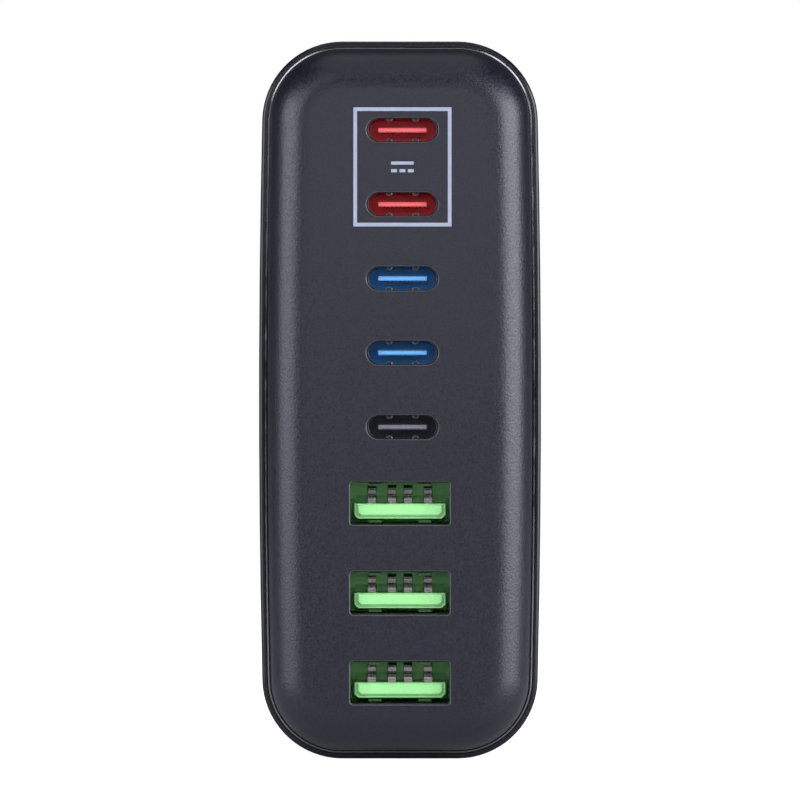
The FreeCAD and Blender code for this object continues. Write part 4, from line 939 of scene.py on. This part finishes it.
class DressPower(bpy.types.Operator):
    """Finish the input parts, the wound parts and the capacitors"""

    bl_idname = "charger.dress_power"
    bl_label = "Power parts"

    def execute(self, context):
        inside = context.scene.charger.inside
        strips = metal("copper_strip", inside.copper_colour, 0.3, (200, 2400, 2400))
        dress(strips, "line_strip", "neutral_strip")
        core = plastic(
            "ferrite_core", inside.ferrite_colour, 0.6,
            grain=0.00018, depth=0.000008, mottle=0.18,
        )
        dress(core, "boost_inductor_core", "transformer_core", "filter_choke_core")
        wire = wound(
            "copper_enamelled",
            inside.copper_colour,
            0.28,
            axis=(0, 0.7, 0.7),
            pitch=0.0007,
            depth=0.0002,
            metallic=0.9,
        )
        dress(wire, "filter_choke_windings")
        coil = wound(
            "copper_coil",
            inside.copper_colour,
            0.3,
            axis=(0, 1, 0),
            pitch=0.0006,
            depth=0.00015,
            metallic=0.9,
        )
        dress(coil, "boost_inductor_winding")
        tape = wound(
            "tape_layers",
            inside.tape_colour,
            0.34,
            axis=(0, 1, 0),
            pitch=0.0042,
            depth=0.00004,
        )
        dress(tape, "transformer_winding")
        bobbin = plastic(
            "bobbin_plastic_dark", inside.bobbin_colour, 0.45,
            grain=0.0005, depth=0.00001,
        )
        dress(bobbin, "transformer_bobbin")
        blue = plastic(
            "dipped_blue_gloss", inside.blue_colour, 0.18,
            grain=0.0022, depth=0.00003, mottle=0.12, patch=0.003,
        )
        dress(blue, "surge_varistor", "safety_capacitor")
        green = plastic(
            "dipped_green_gloss", inside.green_colour, 0.24,
            grain=0.0018, depth=0.00003, mottle=0.14, patch=0.003,
        )
        dress(green, "inrush_thermistor")
        yellow = plastic(
            "moulded_yellow_box", inside.yellow_colour, 0.4,
            grain=0.0004, depth=0.000006, mottle=0.06,
        )
        dress(yellow, "line_filter_capacitor")
        black = plastic(
            "moulded_fuse_body", inside.fuse_colour, 0.45,
            grain=0.0003, depth=0.000006,
        )
        dress(black, "fuse")
        for node in ("bulk_capacitor_1", "bulk_capacitor_2", "bulk_capacitor_3"):
            low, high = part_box(node)
            dress(sleeve(f"{node}_sleeve", inside, (low + high) / 2), node)
        cans = metal("can_metal_drawn", inside.can_colour, 0.3, (300, 2000, 2000))
        dress(cans, "output_capacitors")
        return {"FINISHED"}


class PrintRectangle(bpy.types.Operator):
    """Print the pale rectangle round the two upper ports"""

    bl_idname = "charger.print_rectangle"
    bl_label = "Printed rectangle"

    def execute(self, context):
        settings = context.scene.charger
        marks = settings.marks
        middle = print_middle()
        points, faces = framed_line(
            middle,
            marks.rectangle_width,
            marks.rectangle_height,
            marks.line_width,
            middle.y,
            marks.ink_height,
        )
        piece = surface("printed_rectangle", points, faces)
        outwards(piece)
        piece.data.materials.append(ink(settings))
        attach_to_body(piece, "root")
        return {"FINISHED"}


class PrintSign(bpy.types.Operator):
    """Print the direct-current sign: a bar over three dashes"""

    bl_idname = "charger.print_sign"
    bl_label = "Direct-current sign"

    def execute(self, context):
        settings = context.scene.charger
        marks = settings.marks
        middle = print_middle()
        up = marks.sign_gap / 2
        dash = marks.sign_width * DASH_SHARE
        step = (marks.sign_width - dash) / 2
        bars = [(0, up, marks.sign_width)]
        bars += [(offset * step, -up, dash) for offset in (-1, 0, 1)]
        for number, (x, z, width) in enumerate(bars, start=1):
            points, faces = pressed_bar(
                middle.x + x,
                middle.z + z,
                width,
                marks.line_width * BAR_SHARE,
                middle.y,
                marks.ink_height,
            )
            piece = surface(f"direct_current_bar_{number}", points, faces)
            outwards(piece)
            piece.data.materials.append(ink(settings))
            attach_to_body(piece, "root")
        return {"FINISHED"}


class BuildStudio(bpy.types.Operator):
    """Set up the floor, the lights, the surroundings and the camera"""

    bl_idname = "charger.build_studio"
    bl_label = "Studio"

    def execute(self, context):
        scene = context.scene
        studio = scene.charger.studio
        low, high = CAD_BOX
        front = low.y
        middle = Vector((0, front, (low.z + high.z) / 2))
        scene.view_settings.view_transform = "Standard"
        self.camera(scene, studio, middle)
        centre = Vector((0, front + LIGHT_MIDDLE, middle.z))
        left, right, up = math.radians(176), math.radians(4), math.radians(90)
        upper_left, upper_right = math.radians(135), math.radians(45)
        # Name, tilt, roll, size round the camera's axis, size towards it, brightness
        lamps = (
            ("left_light", studio.left_tilt, left, 0.54, 0.50, studio.left_level),
            ("right_light", studio.right_tilt, right, 0.55, 0.56, studio.right_level),
            ("top_light", studio.top_tilt, up, 0.50, 0.90, studio.top_level),
            ("left_strip", studio.strip_tilt, upper_left, 0.42, 0.036, studio.strip_level),
            ("right_strip", studio.strip_tilt, upper_right, 0.42, 0.036, studio.strip_level),
        )
        for lamp in lamps:
            self.lamp(scene, centre, studio.light_distance, *lamp)
        card = ("front_card", studio.card_tilt, up, 0.14, 0.05, studio.card_level)
        self.lamp(scene, centre, studio.card_distance, *card)
        fills = (
            ("front_fill", studio.fill_tilt, up, 0.40, 0.24, studio.fill_level),
            ("back_fill", studio.back_tilt, up, 0.60, 0.50, studio.back_level),
        )
        for fill in fills:
            lamp = self.lamp(scene, centre, studio.light_distance, *fill)
            lamp.visible_glossy = False
        self.surroundings(scene, studio)
        self.floor(studio, low.z)
        return {"FINISHED"}

    def camera(self, scene, studio, middle):
        """A long lens looking squarely at the front face."""
        data = bpy.data.cameras.new("front_camera")
        data.lens = data.sensor_width * studio.camera_distance / studio.view_width
        camera = bpy.data.objects.new("front_camera", data)
        camera.location = middle - Vector((0, studio.camera_distance, 0))
        camera.rotation_euler = (math.pi / 2, 0, 0)
        scene.collection.objects.link(camera)
        scene.camera = camera

    def lamp(self, scene, centre, distance, name, tilt, roll, along, across, bright):
        """A rectangular light on a sphere round the charger, facing its middle.

        Tilt is its angle from the camera's direction and roll its direction in the picture,
        from the right anticlockwise. Along is its size round the camera's axis and across its
        size towards it. Its power gives every part of it the wanted brightness.
        """
        data = bpy.data.lights.new(name, "AREA")
        data.shape = "RECTANGLE"
        data.size = along
        data.size_y = across
        data.energy = bright * math.pi * along * across
        data.color = scene.charger.studio.light_colour
        lamp = bpy.data.objects.new(name, data)
        way = Vector(
            (
                math.sin(tilt) * math.cos(roll),
                -math.cos(tilt),
                math.sin(tilt) * math.sin(roll),
            )
        )
        side = Vector((-math.sin(roll), 0, math.cos(roll)))
        turn = Matrix((side, way.cross(side), way)).transposed().to_4x4()
        lamp.matrix_world = Matrix.Translation(centre + way * distance) @ turn
        lamp.visible_camera = False
        scene.collection.objects.link(lamp)
        return lamp

    def surroundings(self, scene, studio):
        """White backdrop for the camera, and behind the charger in polished surfaces.

        Polished surfaces see the dim room in front and the backdrop where the direction's y is
        near one. Everything else gets the same soft light from all round.
        """
        world = bpy.data.worlds.new("studio")
        world.use_nodes = True
        tree = world.node_tree
        tree.nodes.clear()
        output = tree.nodes.new("ShaderNodeOutputWorld")
        back = tree.nodes.new("ShaderNodeBackground")
        back.inputs["Color"].default_value = WHITE
        tree.links.new(back.outputs["Background"], output.inputs["Surface"])
        path = tree.nodes.new("ShaderNodeLightPath")
        way = tree.nodes.new("ShaderNodeTexCoord").outputs["Generated"]
        behind = vectors(tree, "DOT_PRODUCT", way, (0, 1, 0))
        room = ranged(tree, behind, studio.gloss_level, studio.backdrop_level, *BACKDROP_BAND)
        mirrored = sums(tree, "MAXIMUM", path.outputs["Is Glossy Ray"],
                        path.outputs["Is Transmission Ray"])
        soft = ranged(tree, mirrored, studio.around_level, room)
        attach(tree, back.inputs["Strength"], ranged(tree, path.outputs["Is Camera Ray"], soft, 1.0))
        scene.world = world

    def floor(self, studio, height):
        """A flat sheet z = height over x and y, white to the camera but for shadows."""
        edge = np.linspace(-FLOOR_REACH, FLOOR_REACH, FLOOR_POINTS)
        x, y = np.meshgrid(edge, edge, indexing="ij")
        points = np.stack((x, y, np.full_like(x, height)), axis=-1)
        step = np.arange(FLOOR_POINTS - 1)
        first = (step[:, None] * FLOOR_POINTS + step).ravel()
        after = first + FLOOR_POINTS
        faces = np.stack((first, after, after + 1, first + 1), axis=-1)
        sheet = surface("floor", points, faces.tolist())
        finish = Finish("floor_paper")
        base = finish.use("Slow mottle", Colour=opaque(studio.floor_colour), Size=0.2, Depth=0.01)
        seen = finish.tree.nodes.new("ShaderNodeLightPath").outputs["Is Camera Ray"]
        finish.feed(
            Base_Color=base["Colour"],
            Roughness=0.9,
            Emission_Color=WHITE,
            Emission_Strength=ranged(finish.tree, seen, 0.0, studio.floor_level),
        )
        sheet.data.materials.append(finish.material)


class ChargerPanel(bpy.types.Panel):
    """The charger's steps and settings in the sidebar"""

    bl_idname = "VIEW3D_PT_charger"
    bl_label = "Wall charger"
    bl_space_type = "VIEW_3D"
    bl_region_type = "UI"
    bl_category = "Charger"

    def draw(self, context):
        settings = context.scene.charger
        for step in STEPS:
            self.layout.operator(step.bl_idname)
        for part in (settings.housing, settings.ports, settings.inside, settings.marks,
                     settings.studio):
            box = self.layout.box()
            for name in part.__annotations__:
                box.prop(part, name)


SETTINGS = (
    HousingSettings,
    PortSettings,
    InsideSettings,
    PrintSettings,
    StudioSettings,
    ChargerSettings,
)
STEPS = (
    DressHousing,
    DressPlug,
    DressPorts,
    DressBoards,
    DressPower,
    PrintRectangle,
    PrintSign,
    BuildStudio,
)


def register():
    """Adds the settings, the steps and the panel to Blender."""
    for entry in SETTINGS + STEPS + (ChargerPanel,):
        bpy.utils.register_class(entry)
    bpy.types.Scene.charger = PointerProperty(type=ChargerSettings)


def unregister():
    """Takes them away again."""
    del bpy.types.Scene.charger
    for entry in reversed(SETTINGS + STEPS + (ChargerPanel,)):
        bpy.utils.unregister_class(entry)


def main():
    """Runs every step in order."""
    register()
    bpy.ops.charger.dress_housing()
    bpy.ops.charger.dress_plug()
    bpy.ops.charger.dress_ports()
    bpy.ops.charger.dress_boards()
    bpy.ops.charger.dress_power()
    bpy.ops.charger.print_rectangle()
    bpy.ops.charger.print_sign()
    bpy.ops.charger.build_studio()


if __name__ == "__main__":
    main()
